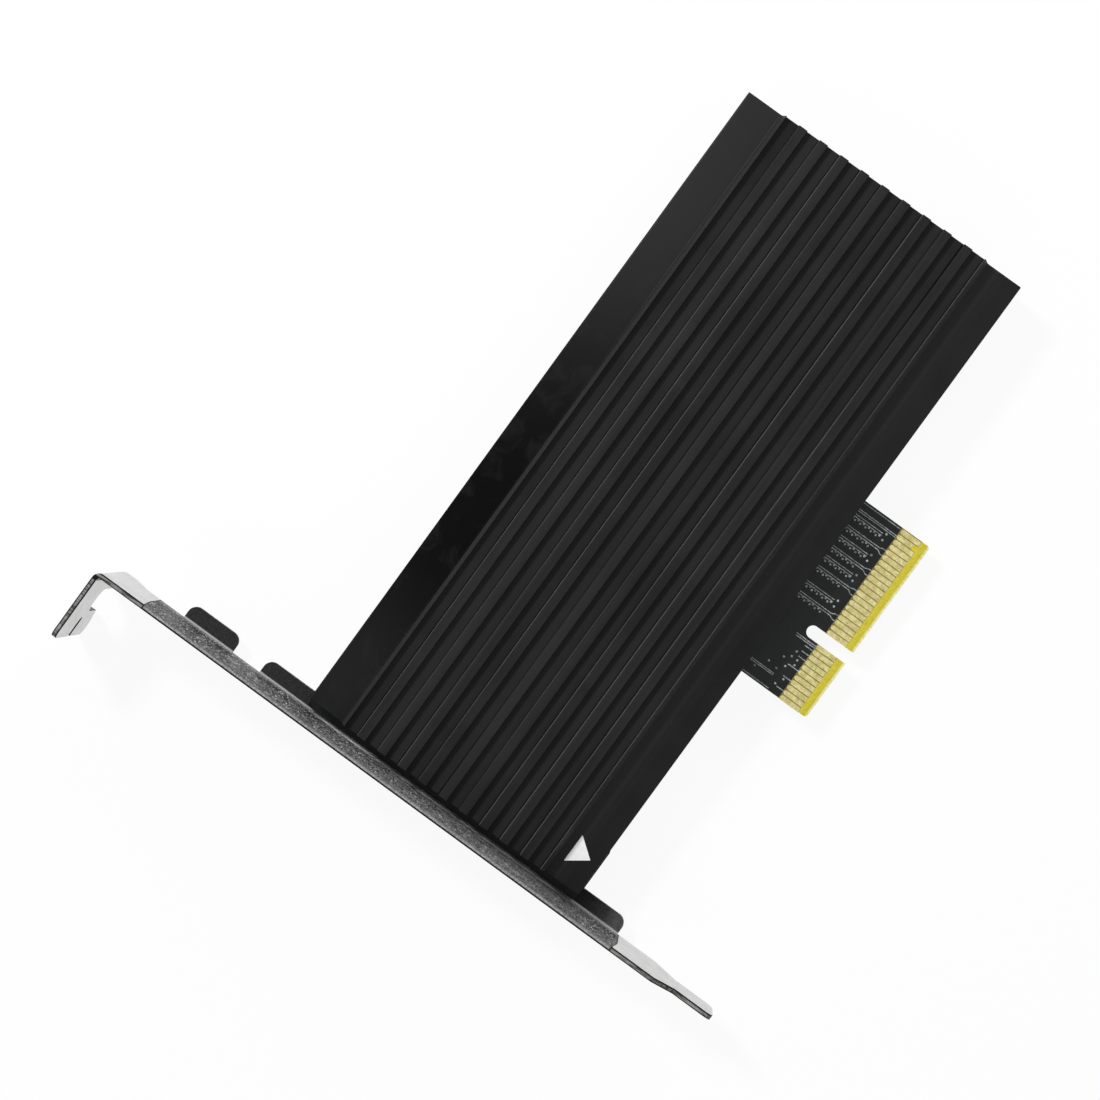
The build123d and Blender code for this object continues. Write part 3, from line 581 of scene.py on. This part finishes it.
def bare_zinc(g, normal, flange, across, cloud):
    """Stained zinc, dark where the sheet was sheared. Also says where that is."""
    nx, ny, nz = normal
    stain = g.between(g.noise(620, 5, 0.75, g.stretch((1, 0.6, 1)), 1.4), 0.66, 0.73)
    patch = g.noise(420, 4, 0.7, g.stretch((1, 1, 0.4)), 0.5)
    color = g.mix(g.spread(cloud), (0.52, 0.52, 0.518), (0.66, 0.66, 0.657))
    color = g.mix(g.between(patch, 0.42, 0.62, 0.0, 0.4), color, (0.72, 0.72, 0.717))
    color = g.mix(g.times(stain, 0.4), color, (0.2, 0.195, 0.19))
    through = g.mix(flange, g.size(nx), g.size(ny))
    cut = g.larger(g.fade(g.parts(through)[0], 0.3, 0.5), g.between(g.size(nz), 0.75, 0.9))
    shear = g.noise(1, 3, 0.6, g.stretch((2600, 420, 4500)))
    sheared = g.mix(g.between(shear, 0.38, 0.6), (0.06, 0.059, 0.058), (0.27, 0.267, 0.262))
    core = g.times(g.between(across, 0.12, 0.3), g.fade(across, 0.6, 0.8))
    return g.mix(cut, color, g.mix(core, grey(0.01), sheared)), cut


def bracket_metal():
    """Zinc-plated sheet with sand-textured black paint on its middle and dark sheared edges."""
    g = Graph("bracket_metal")
    x, y, z = g.parts(g.place)
    normal = g.facing()
    nx, _, nz = normal
    sand = g.noise(3600, 3, 0.75)
    lump = g.noise(1500, 2, 0.5)
    cloud = g.noise(130, 4, 0.6)
    inside, rim = painted_zone(g, y, z)
    flange, across = across_sheet(g, x, y)
    inner = g.between(nx, 0.75, 0.95)
    zones = inner_zones(g, y, z, nx, sand)
    # Only the face towards the card gets the inner paint, with its painted light, glints and highlight.
    coat = g.mix(inner, outer_paint(g, y, lump), inner_paint(g, zones))
    coat = paint_edges(g, coat, z, nx, nz, across, sand, rim)
    metal, cut = bare_zinc(g, normal, flange, across, cloud)
    rough = g.mix(inside, g.spread(cloud, 0.3, 0.42), g.spread(sand, 0.36, 0.6))
    shine = g.times(g.reverse(inside), g.reverse(g.times(cut, 0.9)), 0.8)
    relief = g.bump(g.times(sand, inside), 0.13 * MM, 0.9)
    relief = g.bump(g.times(lump, inside), 0.12 * MM, 0.5, relief)
    sandy = g.times(g.between(zones[0], 0.42, 0.58), inner)
    paint_index = g.times(g.between(sandy, 0.0, 1.0, 1.1, 1.32), inside)
    zinc_index = g.times(g.reverse(inside), g.between(cut, 0.0, 1.0, 1.3, 1.1))
    sheen = g.times(inside, inner_sheen(g, zones, inner, rim))
    return g.finish(g.mix(inside, metal, coat), rough, shine, relief, IOR=g.plus(paint_index, zinc_index),
                    Sheen_Weight=sheen, Sheen_Roughness=0.45)


def solder_mask():
    """Black board: glossy mask on its faces, yellow glass-epoxy on bevels, edges and between contacts."""
    g = Graph("solder_mask")
    x, y, _ = g.parts(g.place)
    nz = g.facing()[2]
    cloud = g.noise(260, 3, 0.6)
    clouded = g.spread(cloud)
    weave = g.plus(g.noise(1, 1, 0.5, g.stretch((300, 2400, 300))),
                   g.noise(1, 1, 0.5, g.stretch((2400, 300, 300))))
    fleck = g.between(g.noise(1, 3, 0.6, g.stretch((2600, 5200, 5200))), 0.35, 0.65)
    fringe = g.between(g.noise(1, 2, 0.6, g.stretch((3300, 900, 900))), 0.34, 0.5, 0.4, 1.0)
    fringe = g.times(g.ramp(y, row_y, FRINGE_Y, 1.0, 0.0), fringe)
    core = g.mix(fleck, (0.53, 0.435, 0.03), (0.65, 0.565, 0.05))
    core = g.mix(g.times(fringe, 0.9), core, (0.88, 0.87, 0.45))
    fingers = g.ramp(y, row_y, MASK_BORDER_Y, 1.0, 0.0)
    from_short = g.size(g.minus(x, row_x(FIRST_CONTACT + SHORT_CONTACT_STEP)))
    cut_back = g.times(g.fade(from_short, 0.4 * MM, 0.5 * MM), SHORT_CONTACT_CUT * MM)
    below_contacts = g.ramp(g.minus(y, cut_back), row_y, BEVEL_BORDER_Y, 1.0, 0.0)
    gap = g.mix(below_contacts, g.mix(clouded, (0.16, 0.135, 0.035), (0.24, 0.2, 0.05)), core)
    face = g.mix(fingers, g.mix(clouded, (0.0035, 0.0048, 0.0048), (0.0075, 0.0095, 0.009)), gap)
    on_tongue = g.ramp(y, row_y, TONGUE_EDGE_Y)
    edge = g.mix(on_tongue, g.mix(fleck, (0.02, 0.02, 0.016), (0.05, 0.05, 0.04)), core)
    broad = g.between(g.size(nz), 0.975, 0.99)
    masked = g.times(broad, g.reverse(fingers))
    rough = g.mix(masked, g.spread(cloud, 0.4, 0.55), g.spread(cloud, 0.22, 0.32))
    return g.finish(g.mix(broad, edge, face), rough, 0.0, g.bump(weave, 0.01 * MM, 0.3), IOR=1.3)


def gold():
    """Pale gold plating with fine pits and wear marks."""
    g = Graph("gold")
    cloud = g.noise(1100, 3, 0.6)
    pit = g.between(g.noise(3000, 3, 0.8), 0.54, 0.64)
    wear = g.between(g.noise(1, 3, 0.6, g.stretch((5200, 520, 500))), 0.55, 0.75)
    color = g.mix(g.spread(cloud), (0.5, 0.425, 0.155), (0.66, 0.6, 0.28))
    color = g.mix(g.times(wear, 0.35), color, (0.8, 0.74, 0.46))
    color = g.mix(g.times(pit, 0.75), color, (0.25, 0.22, 0.1))
    return g.finish(color, g.spread(cloud, 0.28, 0.42), 0.5, g.bump(cloud, 0.02 * MM, 0.4))


def masked_copper():
    """Copper runs under the black mask, paler than the bare laminate."""
    g = Graph("masked_copper")
    cloud = g.noise(2400, 3, 0.65)
    color = g.mix(g.spread(cloud), (0.09, 0.105, 0.105), (0.42, 0.455, 0.45))
    return g.finish(color, g.spread(cloud, 0.24, 0.36), 0.0, g.bump(cloud, 0.01 * MM, 0.3))


def white_print():
    """White printing ink."""
    g = Graph("white_print")
    grain = g.noise(2600, 3, 0.6)
    color = g.mix(g.spread(grain), grey(0.82), grey(0.88))
    return g.finish(color, 0.55, 0.0, g.bump(grain, 0.01 * MM, 0.3))


def moulded(name, dark, light, rough, scale=900):
    """Plain moulded plastic or coating with a fine grain."""
    g = Graph(name)
    grain = g.noise(scale * 5, 2, 0.7)
    cloud = g.noise(scale / 4, 3, 0.6)
    color = g.mix(g.spread(cloud), dark, light)
    grained = g.spread(grain, rough - 0.06, rough + 0.06)
    return g.finish(color, grained, 0.0, g.bump(grain, 0.02 * MM, 0.35))


def plated(name, dark, light, rough, scale=700):
    """Plated or turned metal with small stains."""
    g = Graph(name)
    cloud = g.noise(scale, 4, 0.65)
    grain = g.noise(scale * 8, 2, 0.6)
    color = g.mix(g.spread(cloud), dark, light)
    stained = g.spread(cloud, rough - 0.05, rough + 0.08)
    return g.finish(color, stained, 0.9, g.bump(grain, 0.01 * MM, 0.3))


def paint(node, material):
    """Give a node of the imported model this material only."""
    mesh = nodes[node].data
    mesh.materials.clear()
    mesh.materials.append(material)


def soften(node, width):
    """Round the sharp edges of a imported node, by a width in millimetres."""
    made = nodes[node]
    weld = made.modifiers.new("weld", "WELD")
    weld.merge_threshold = 1e-6
    flat = made.modifiers.new("flat", "DECIMATE")
    flat.decimate_type = "DISSOLVE"
    flat.angle_limit = math.radians(0.5)
    bevel = made.modifiers.new("bevel", "BEVEL")
    bevel.width = width * MM
    bevel.segments = 2
    bevel.limit_method = "ANGLE"
    bevel.angle_limit = math.radians(35)
    even = made.modifiers.new("even", "WEIGHTED_NORMAL")
    even.keep_sharp = False


def piece(name, bm, material, smooth=35):
    """A new mesh object that rides on the card, smooth across edges of up to so many degrees."""
    bmesh.ops.recalc_face_normals(bm, faces=bm.faces)
    mesh = bpy.data.meshes.new(name)
    bm.to_mesh(mesh)
    bm.free()
    mesh.materials.append(material)
    made = bpy.data.objects.new(name, mesh)
    bpy.context.scene.collection.objects.link(made)
    mesh.shade_smooth()
    mesh.set_sharp_from_angle(angle=math.radians(smooth))
    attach(made, "root")
    return made


def rounded(corners):
    """A closed outline from corners (x, y, radius), each of them turned into an arc."""
    outline = []
    for index, (x, y, radius) in enumerate(corners):
        here = Vector((x, y))
        before = (Vector(corners[index - 1][:2]) - here).normalized()
        after = (Vector(corners[(index + 1) % len(corners)][:2]) - here).normalized()
        half = before.angle(after) / 2
        centre = here + (before + after).normalized() * radius / math.sin(half)
        first = here + before * radius / math.tan(half) - centre
        last = here + after * radius / math.tan(half) - centre
        start = math.atan2(first.y, first.x)
        turn = (math.atan2(last.y, last.x) - start + math.pi) % math.tau - math.pi
        for step in range(ARC_STEPS + 1):
            angle = start + turn * step / ARC_STEPS
            outline.append(centre + radius * Vector((math.cos(angle), math.sin(angle))))
    return outline


def inset(outline, distance):
    """The same outline, moved towards its inside."""
    count = len(outline)
    area = sum(outline[i - 1].cross(outline[i]) for i in range(count))
    moved = []
    for i in range(count):
        along = (outline[(i + 1) % count] - outline[i - 1]).normalized()
        inward = Vector((-along.y, along.x)) * math.copysign(distance, area)
        moved.append(outline[i] + inward)
    return moved


def bridge(bm, rings, closed=True):
    """Faces between rings of equally many points."""
    for low, high in zip(rings, rings[1:]):
        count = len(low)
        for i in range(count if closed else count - 1):
            after = (i + 1) % count
            bm.faces.new((low[i], low[after], high[after], high[i]))


def loft(bm, rings):
    """A solid through rings of places, closed at both ends."""
    rings = [[bm.verts.new(place) for place in ring] for ring in rings]
    bridge(bm, rings)
    bm.faces.new(rings[0])
    bm.faces.new(rings[-1])


def turned(bm, x, y, profile, segments):
    """A ring or dome around a vertical axis, from a profile (radius, z) that closes on the board."""
    angles = [math.tau * i / segments for i in range(segments)]
    rings = []
    for radius, z in profile:
        ring = [at(x + radius * math.cos(angle), y + radius * math.sin(angle), z) for angle in angles]
        rings.append([bm.verts.new(place) for place in ring])
    bridge(bm, rings)
    return rings


def heatsink_cover():
    """The finned extrusion, with rounded fins and edges."""
    edge = [(COVER_HALF, BOARD_TOP, LOW_ROUNDING), (COVER_HALF, COVER_FLAT, FLAT_ROUNDING),
            (SLOPE_FOOT, COVER_FLAT, SLOPE_FOOT_ROUNDING), (SLOPE_TOP, FIN_TOP, SLOPE_TOP_ROUNDING)]
    start = (FIN_COUNT * FIN_WIDTH + (FIN_COUNT + 1) * GROOVE_WIDTH) / 2
    corners = [*edge, (start, FIN_TOP, OUTER_GROOVE_ROUNDING)]
    for index in range(FIN_COUNT + 1):
        end = start - GROOVE_WIDTH
        corners += [(start, GROOVE_FLOOR, GROOVE_ROUNDING), (end, GROOVE_FLOOR, GROOVE_ROUNDING)]
        if index < FIN_COUNT:
            start = end - FIN_WIDTH
            corners += [(end, FIN_TOP, FIN_ROUNDING), (start, FIN_TOP, FIN_ROUNDING)]
    corners.append((end, FIN_TOP, OUTER_GROOVE_ROUNDING))
    corners += [(-y, z, radius) for y, z, radius in reversed(edge)]
    channel = [(-CHANNEL_HALF, BOARD_TOP, LOW_ROUNDING), (-CHANNEL_HALF, CHANNEL_TOP, FLAT_ROUNDING)]
    corners += channel
    corners += [(-y, z, radius) for y, z, radius in reversed(channel)]
    outline = [point + Vector((BOARD_MIDDLE, 0)) for point in rounded(corners)]
    small = inset(outline, END_BEVEL)
    bm = bmesh.new()
    loft(bm, [[at(x, y, z) for y, z in ring] for x, ring in (
        (COVER_START, small), (COVER_START + END_BEVEL, outline),
        (BOARD_END - END_BEVEL, outline), (BOARD_END, small))])
    made = piece("cover_extrusion", bm, anodised_black(), 30)
    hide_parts("heatsink_cover")


def pointer_mark():
    """The plain printed triangle on the cover."""
    outline = rounded([(x, y, POINTER_ROUNDING) for x, y in POINTER_CORNERS])
    small = inset(outline, PRINT_BEVEL)
    top = COVER_FLAT + PRINT_HEIGHT
    bm = bmesh.new()
    loft(bm, [[at(x, y, z) for x, y in ring] for z, ring in (
        (COVER_FLAT - PRINT_SINK, outline), (top - PRINT_BEVEL, outline), (top, small))])
    made = piece("pointer_mark", bm, white_print())


class Copper:
    """Flat runs and mask-filled vias on one face of the board."""

    def __init__(self, level, up):
        self.bm = bmesh.new()
        self.level = level
        self.up = up

    def run(self, points, width=RUN_WIDTH):
        """A run along points (x, y), with sloping sides."""
        half = width / 2
        slant = half - RUN_HEIGHT
        height = RUN_HEIGHT * self.up
        profile = ((half, 0), (slant, height), (-slant, height), (-half, 0))
        rails = [[] for _ in profile]
        for i, place in enumerate(points):
            here = Vector(place)
            sides = []
            if i:
                sides.append((here - Vector(points[i - 1])).normalized())
            if i < len(points) - 1:
                sides.append((Vector(points[i + 1]) - here).normalized())
            along = sum(sides, Vector((0, 0))).normalized()
            across = Vector((-along.y, along.x)) / max(0.5, along.dot(sides[0]))
            for rail, (offset, rise) in zip(rails, profile):
                edge = here + across * offset
                rail.append(self.bm.verts.new(at(edge.x, edge.y, self.level + rise)))
        bridge(self.bm, rails + [rails[0]], closed=False)
        for end in (0, -1):
            self.bm.faces.new([rail[end] for rail in rails])

    def upright(self, x, high, low, width=RUN_WIDTH):
        """A straight run along Y."""
        self.run(((x, high), (x, low)), width)

    def via(self, x, y, radius=VIA_RADIUS):
        """One via with a small dimple."""
        rise = VIA_HEIGHT * self.up
        profile = ((radius, 0.0), (radius * 0.8, rise), (radius * 0.45, rise), (radius * 0.2, rise * 0.3))
        rings = turned(self.bm, x, y, [(r, self.level + z) for r, z in profile], 10)
        self.bm.faces.new(rings[-1])

    def via_row(self, x, high, low):
        """Vias in a zigzag beside a pair of runs."""
        y = high - VIA_START
        count = 0
        while y > low:
            self.via(x + VIA_ZIGZAG[count % 2], y)
            y -= VIA_PITCH
            count += 1


def contact_pair(copper, x, start):
    """A pair that fans out to the two contacts nearest to it."""
    contact = FIRST_CONTACT + math.floor(x - FIRST_CONTACT)
    for side, end in ((x - PAIR_HALF, contact), (x + PAIR_HALF, contact + 1)):
        copper.run(((side, start), (side, FAN_START), (end, FAN_END), (end, CONTACT_HIGH)))
    copper.via_row(x, start, FAN_VIAS_END)


def via_pair(copper, x, start):
    """A pair that ends above the contacts, with the vias that bring it to the other face."""
    for side in (x - PAIR_HALF, x + PAIR_HALF):
        copper.upright(side, start, VIA_PAIR_END)
    copper.via_row(x, start, VIA_PAIR_VIAS_END)
    for offset in CROSSING_OFFSETS:
        copper.via(x + offset, CROSSING_LEVEL)


def single_runs(copper, start):
    """Runs that come down to the contacts by themselves, and stubs of different length."""
    for x in FULL_RUNS:
        copper.upright(x, start, RUN_END)
    for x in KEY_RUNS:
        copper.upright(x, KEY_RUN_START, RUN_END)
    for x, low in SHORT_RUNS.items():
        copper.upright(x, start, low)
    for step in STUB_STEPS:
        end = CONTACT_HIGH + dice.uniform(*STUB_LENGTHS)
        copper.upright(FIRST_CONTACT + step, CONTACT_HIGH, end, STUB_WIDTH)


def solder_side(copper):
    """Pairs that turn towards the bracket, stitching vias and supply runs on the face turned away."""
    for index, x in enumerate(PAIRS["top"]):
        high = TURN_HIGH + TURN_STEP * index
        far = PAIR_FAR + PAIR_FAR_STEP * index
        for side in (-PAIR_HALF, PAIR_HALF):
            copper.run(((x + side, BOARD_LOW + RUN_START["bottom"]), (x + side, high + side),
                        (far, high + side)))
    screws = [(x, y) for x in SCREW_DISTANCES for y in SCREW_ROWS]
    for place in ((x, y) for x in range(18, 120, 6) for y in EDGE_VIA_ROWS):
        if all(math.dist(place, screw) > SCREW_CLEARANCE for screw in screws):
            copper.via(*place, EDGE_VIA_RADIUS)
    holes = [(x, BOARD_MIDDLE) for x in MODULE_HOLES]
    for x, y in ((x, y) for x in range(30, 98, 5) for y in MIDDLE_VIA_ROWS):
        if all(math.dist((x, y), hole) > HOLE_CLEARANCE for hole in holes):
            spread = [dice.uniform(-MIDDLE_VIA_SPREAD, MIDDLE_VIA_SPREAD) for _ in range(2)]
            copper.via(x + spread[0], y + spread[1], MIDDLE_VIA_RADIUS)
    for low, high, y in SUPPLY_RUNS:
        copper.run(((low, y), (high, y), (high + SUPPLY_BEND, y + SUPPLY_BEND)), SUPPLY_WIDTH)


def board_copper(material):
    """Runs and filled vias on both faces of the board."""
    for face, other, level, up in (("top", "bottom", BOARD_TOP, 1), ("bottom", "top", BOARD_BOTTOM, -1)):
        copper = Copper(level, up)
        start = BOARD_LOW + RUN_START[face]
        for x in PAIRS[face]:
            contact_pair(copper, x, start)
        for x in PAIRS[other]:
            via_pair(copper, x, start)
        single_runs(copper, start)
        for place in LOOSE_VIAS:
            copper.via(*place)
        beside_key = KEY_CENTRE - KEY_HALF - KEY_RUN_GAP
        copper.upright(beside_key, CONTACT_HIGH, KEY_TOP + 1.0, KEY_RUN_WIDTH)
        if face == "bottom":
            solder_side(copper)
        made = piece(f"board_copper_{face}", copper.bm, material, 50)


def plated_rings(tin):
    """Bare plated lands around the screw and module holes."""
    bottom = (BOARD_BOTTOM, -LAND_HEIGHT)
    top = (BOARD_TOP, LAND_HEIGHT)
    lands = [(x, y, SCREW_LAND, bottom) for x in SCREW_DISTANCES[1:] for y in SCREW_ROWS]
    for x in MODULE_HOLES:
        lands += [(x, BOARD_MIDDLE, HOLE_LAND, bottom), (x, BOARD_MIDDLE, HOLE_LAND, top)]
    lands.append((STANDOFF_DISTANCE, BOARD_MIDDLE, HOLE_LAND, bottom))
    bm = bmesh.new()
    for x, y, (inner, outer), (level, rise) in lands:
        profile = ((outer, level), (outer - LAND_HEIGHT, level + rise), (inner, level + rise), (inner, level))
        turned(bm, x, y, profile, 40)
    made = piece("plated_rings", bm, tin, 50)


def chip_ends(tin):
    """Metal ends and solder of the small components."""
    bm = bmesh.new()
    for places, offset, size in CHIPS.values():
        for x in places:
            end_pair(bm, x, BOARD_MIDDLE + offset, *size)
    made = piece("chip_ends", bm, tin, 40)


def end_pair(bm, x, y, size_x, size_y, height):
    """Both metal ends of one component, on its longer axis, each with its solder slope."""
    along_x = size_x > size_y
    half = max(size_x, size_y) / 2
    half_width = min(size_x, size_y) / 2 + CAP_PROUD
    cap = min(CAP_SHARE * half * 2, WIDEST_CAP)
    foot = min(SOLDER_REACH, 0.45 * height)
    profile = ((half - cap, 0.0), (half - cap, height + CAP_PROUD), (half + CAP_PROUD, height + CAP_PROUD),
               (half + CAP_PROUD, height * 0.7), (half + foot * 0.35, height * 0.3), (half + foot, 0.0))
    for side in (1, -1):
        rings = []
        for edge in (-half_width, half_width):
            ring = []
            for reach, z in profile:
                dx, dy = (side * reach, edge) if along_x else (edge, side * reach)
                ring.append(at(x + dx, y + dy, BOARD_TOP + z))
            rings.append(ring)
        loft(bm, rings)


def paint_all():
    """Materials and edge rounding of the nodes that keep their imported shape. Gives back the tin."""
    metal_gold = gold()
    steel = plated("dark_zinc", (0.16, 0.16, 0.165), (0.3, 0.3, 0.31), 0.34)
    tin = plated("tin", (0.55, 0.55, 0.54), (0.72, 0.72, 0.71), 0.3)
    brass = plated("brass", (0.56, 0.4, 0.14), (0.7, 0.53, 0.22), 0.3)
    black = moulded("black_plastic", grey(0.012), grey(0.02), 0.5)
    green = moulded("green_plastic", (0.02, 0.12, 0.05), (0.03, 0.17, 0.07), 0.4)
    clear = moulded("clear_plastic", (0.6, 0.65, 0.5), (0.75, 0.8, 0.6), 0.25)
    ceramic = moulded("tan_ceramic", (0.25, 0.16, 0.09), (0.34, 0.23, 0.13), 0.42)
    silicone = moulded("grey_silicone", (0.2, 0.22, 0.25), (0.28, 0.3, 0.33), 0.7)
    ferrite = moulded("ferrite", (0.03, 0.03, 0.032), (0.06, 0.06, 0.062), 0.6, 600)
    looks = {
        "bracket": (bracket_metal(), 0.1),
        "circuit_board": (solder_mask(), 0.05),
        "edge_contacts_top": (metal_gold, 0.015),
        "edge_contacts_bottom": (metal_gold, 0.015),
        "module_socket_contacts": (metal_gold, None),
        "bracket_screws": (steel, 0.08),
        "cover_screws": (steel, 0.08),
        "module_screw": (steel, 0.06),
        "module_socket_anchors": (tin, None),
        "regulator_leads": (tin, 0.03),
        "module_standoff": (brass, 0.08),
        "module_socket_housing": (black, 0.06),
        "regulator_body": (black, 0.05),
        "chip_resistors": (black, 0.03),
        "bulk_capacitors": (ceramic, 0.08),
        "chip_capacitors": (ceramic, 0.05),
        "thermal_pad": (silicone, 0.15),
        "power_inductor": (ferrite, 0.2),
        "input_fuse": (green, 0.05),
        "status_led": (clear, 0.04),
    }
    for node, (material, rounding) in looks.items():
        paint(node, material)
        if rounding:
            soften(node, rounding)
    return tin


def white_floor():
    """A floor that is lit like paper, and shows nearly white in the picture."""
    g = Graph("white_floor")
    both = g.tree.nodes.new("ShaderNodeMixShader")
    g.link(g.times(g.seen(), FLOOR_GLOW), both.inputs[0])
    g.link(g.shader("ShaderNodeBsdfDiffuse", grey(0.86)), both.inputs[1])
    g.link(g.shader("ShaderNodeEmission", WHITE, 1.0), both.inputs[2])
    g.link(both.outputs[0], g.output.inputs[0])
    bm = bmesh.new()
    bmesh.ops.create_grid(bm, x_segments=1, y_segments=1, size=FLOOR_HALF)
    mesh = bpy.data.meshes.new("floor")
    bm.to_mesh(mesh)
    bm.free()
    mesh.materials.append(g.owner)
    floor = bpy.data.objects.new("floor", mesh)
    bpy.context.scene.collection.objects.link(floor)


def white_world():
    """White all around in the picture and in mirrors, and weaker as a light."""
    g = Graph("studio", bpy.data.worlds, "ShaderNodeOutputWorld")
    strength = g.between(g.seen(), 0.0, 1.0, WORLD_LIGHT, 1.0)
    g.link(g.shader("ShaderNodeBackground", WHITE, strength), g.output.inputs[0])
    bpy.context.scene.world = g.owner


def lamp(name, place, size, power):
    """A square soft light that points at the card."""
    data = bpy.data.lights.new(name, "AREA")
    data.shape = "SQUARE"
    data.size = size
    data.energy = power
    made = bpy.data.objects.new(name, data)
    made.location = place
    made.rotation_euler = (-Vector(place)).to_track_quat("-Z", "Y").to_euler()
    bpy.context.scene.collection.objects.link(made)


def photo_camera():
    """The photograph's camera, fitted to the card's known sizes."""
    data = bpy.data.cameras.new("camera")
    data.lens = CAMERA_LENS
    data.sensor_width = CAMERA_SENSOR
    data.clip_start, data.clip_end = CAMERA_RANGE
    camera = bpy.data.objects.new("camera", data)
    camera.location = at(*CAMERA_PLACE)
    camera.rotation_euler = [math.radians(angle) for angle in CAMERA_ANGLES]
    bpy.context.scene.collection.objects.link(camera)
    bpy.context.scene.camera = camera


def studio():
    """White floor, soft lights and the photograph's camera."""
    bpy.context.scene.view_settings.view_transform = "Standard"
    white_floor()
    white_world()
    for name, (place, size, power) in LAMPS.items():
        lamp(name, place, size, power)
    photo_camera()


tin_plating = paint_all()
heatsink_cover()
board_copper(masked_copper())
plated_rings(tin_plating)
chip_ends(tin_plating)
pointer_mark()
studio()
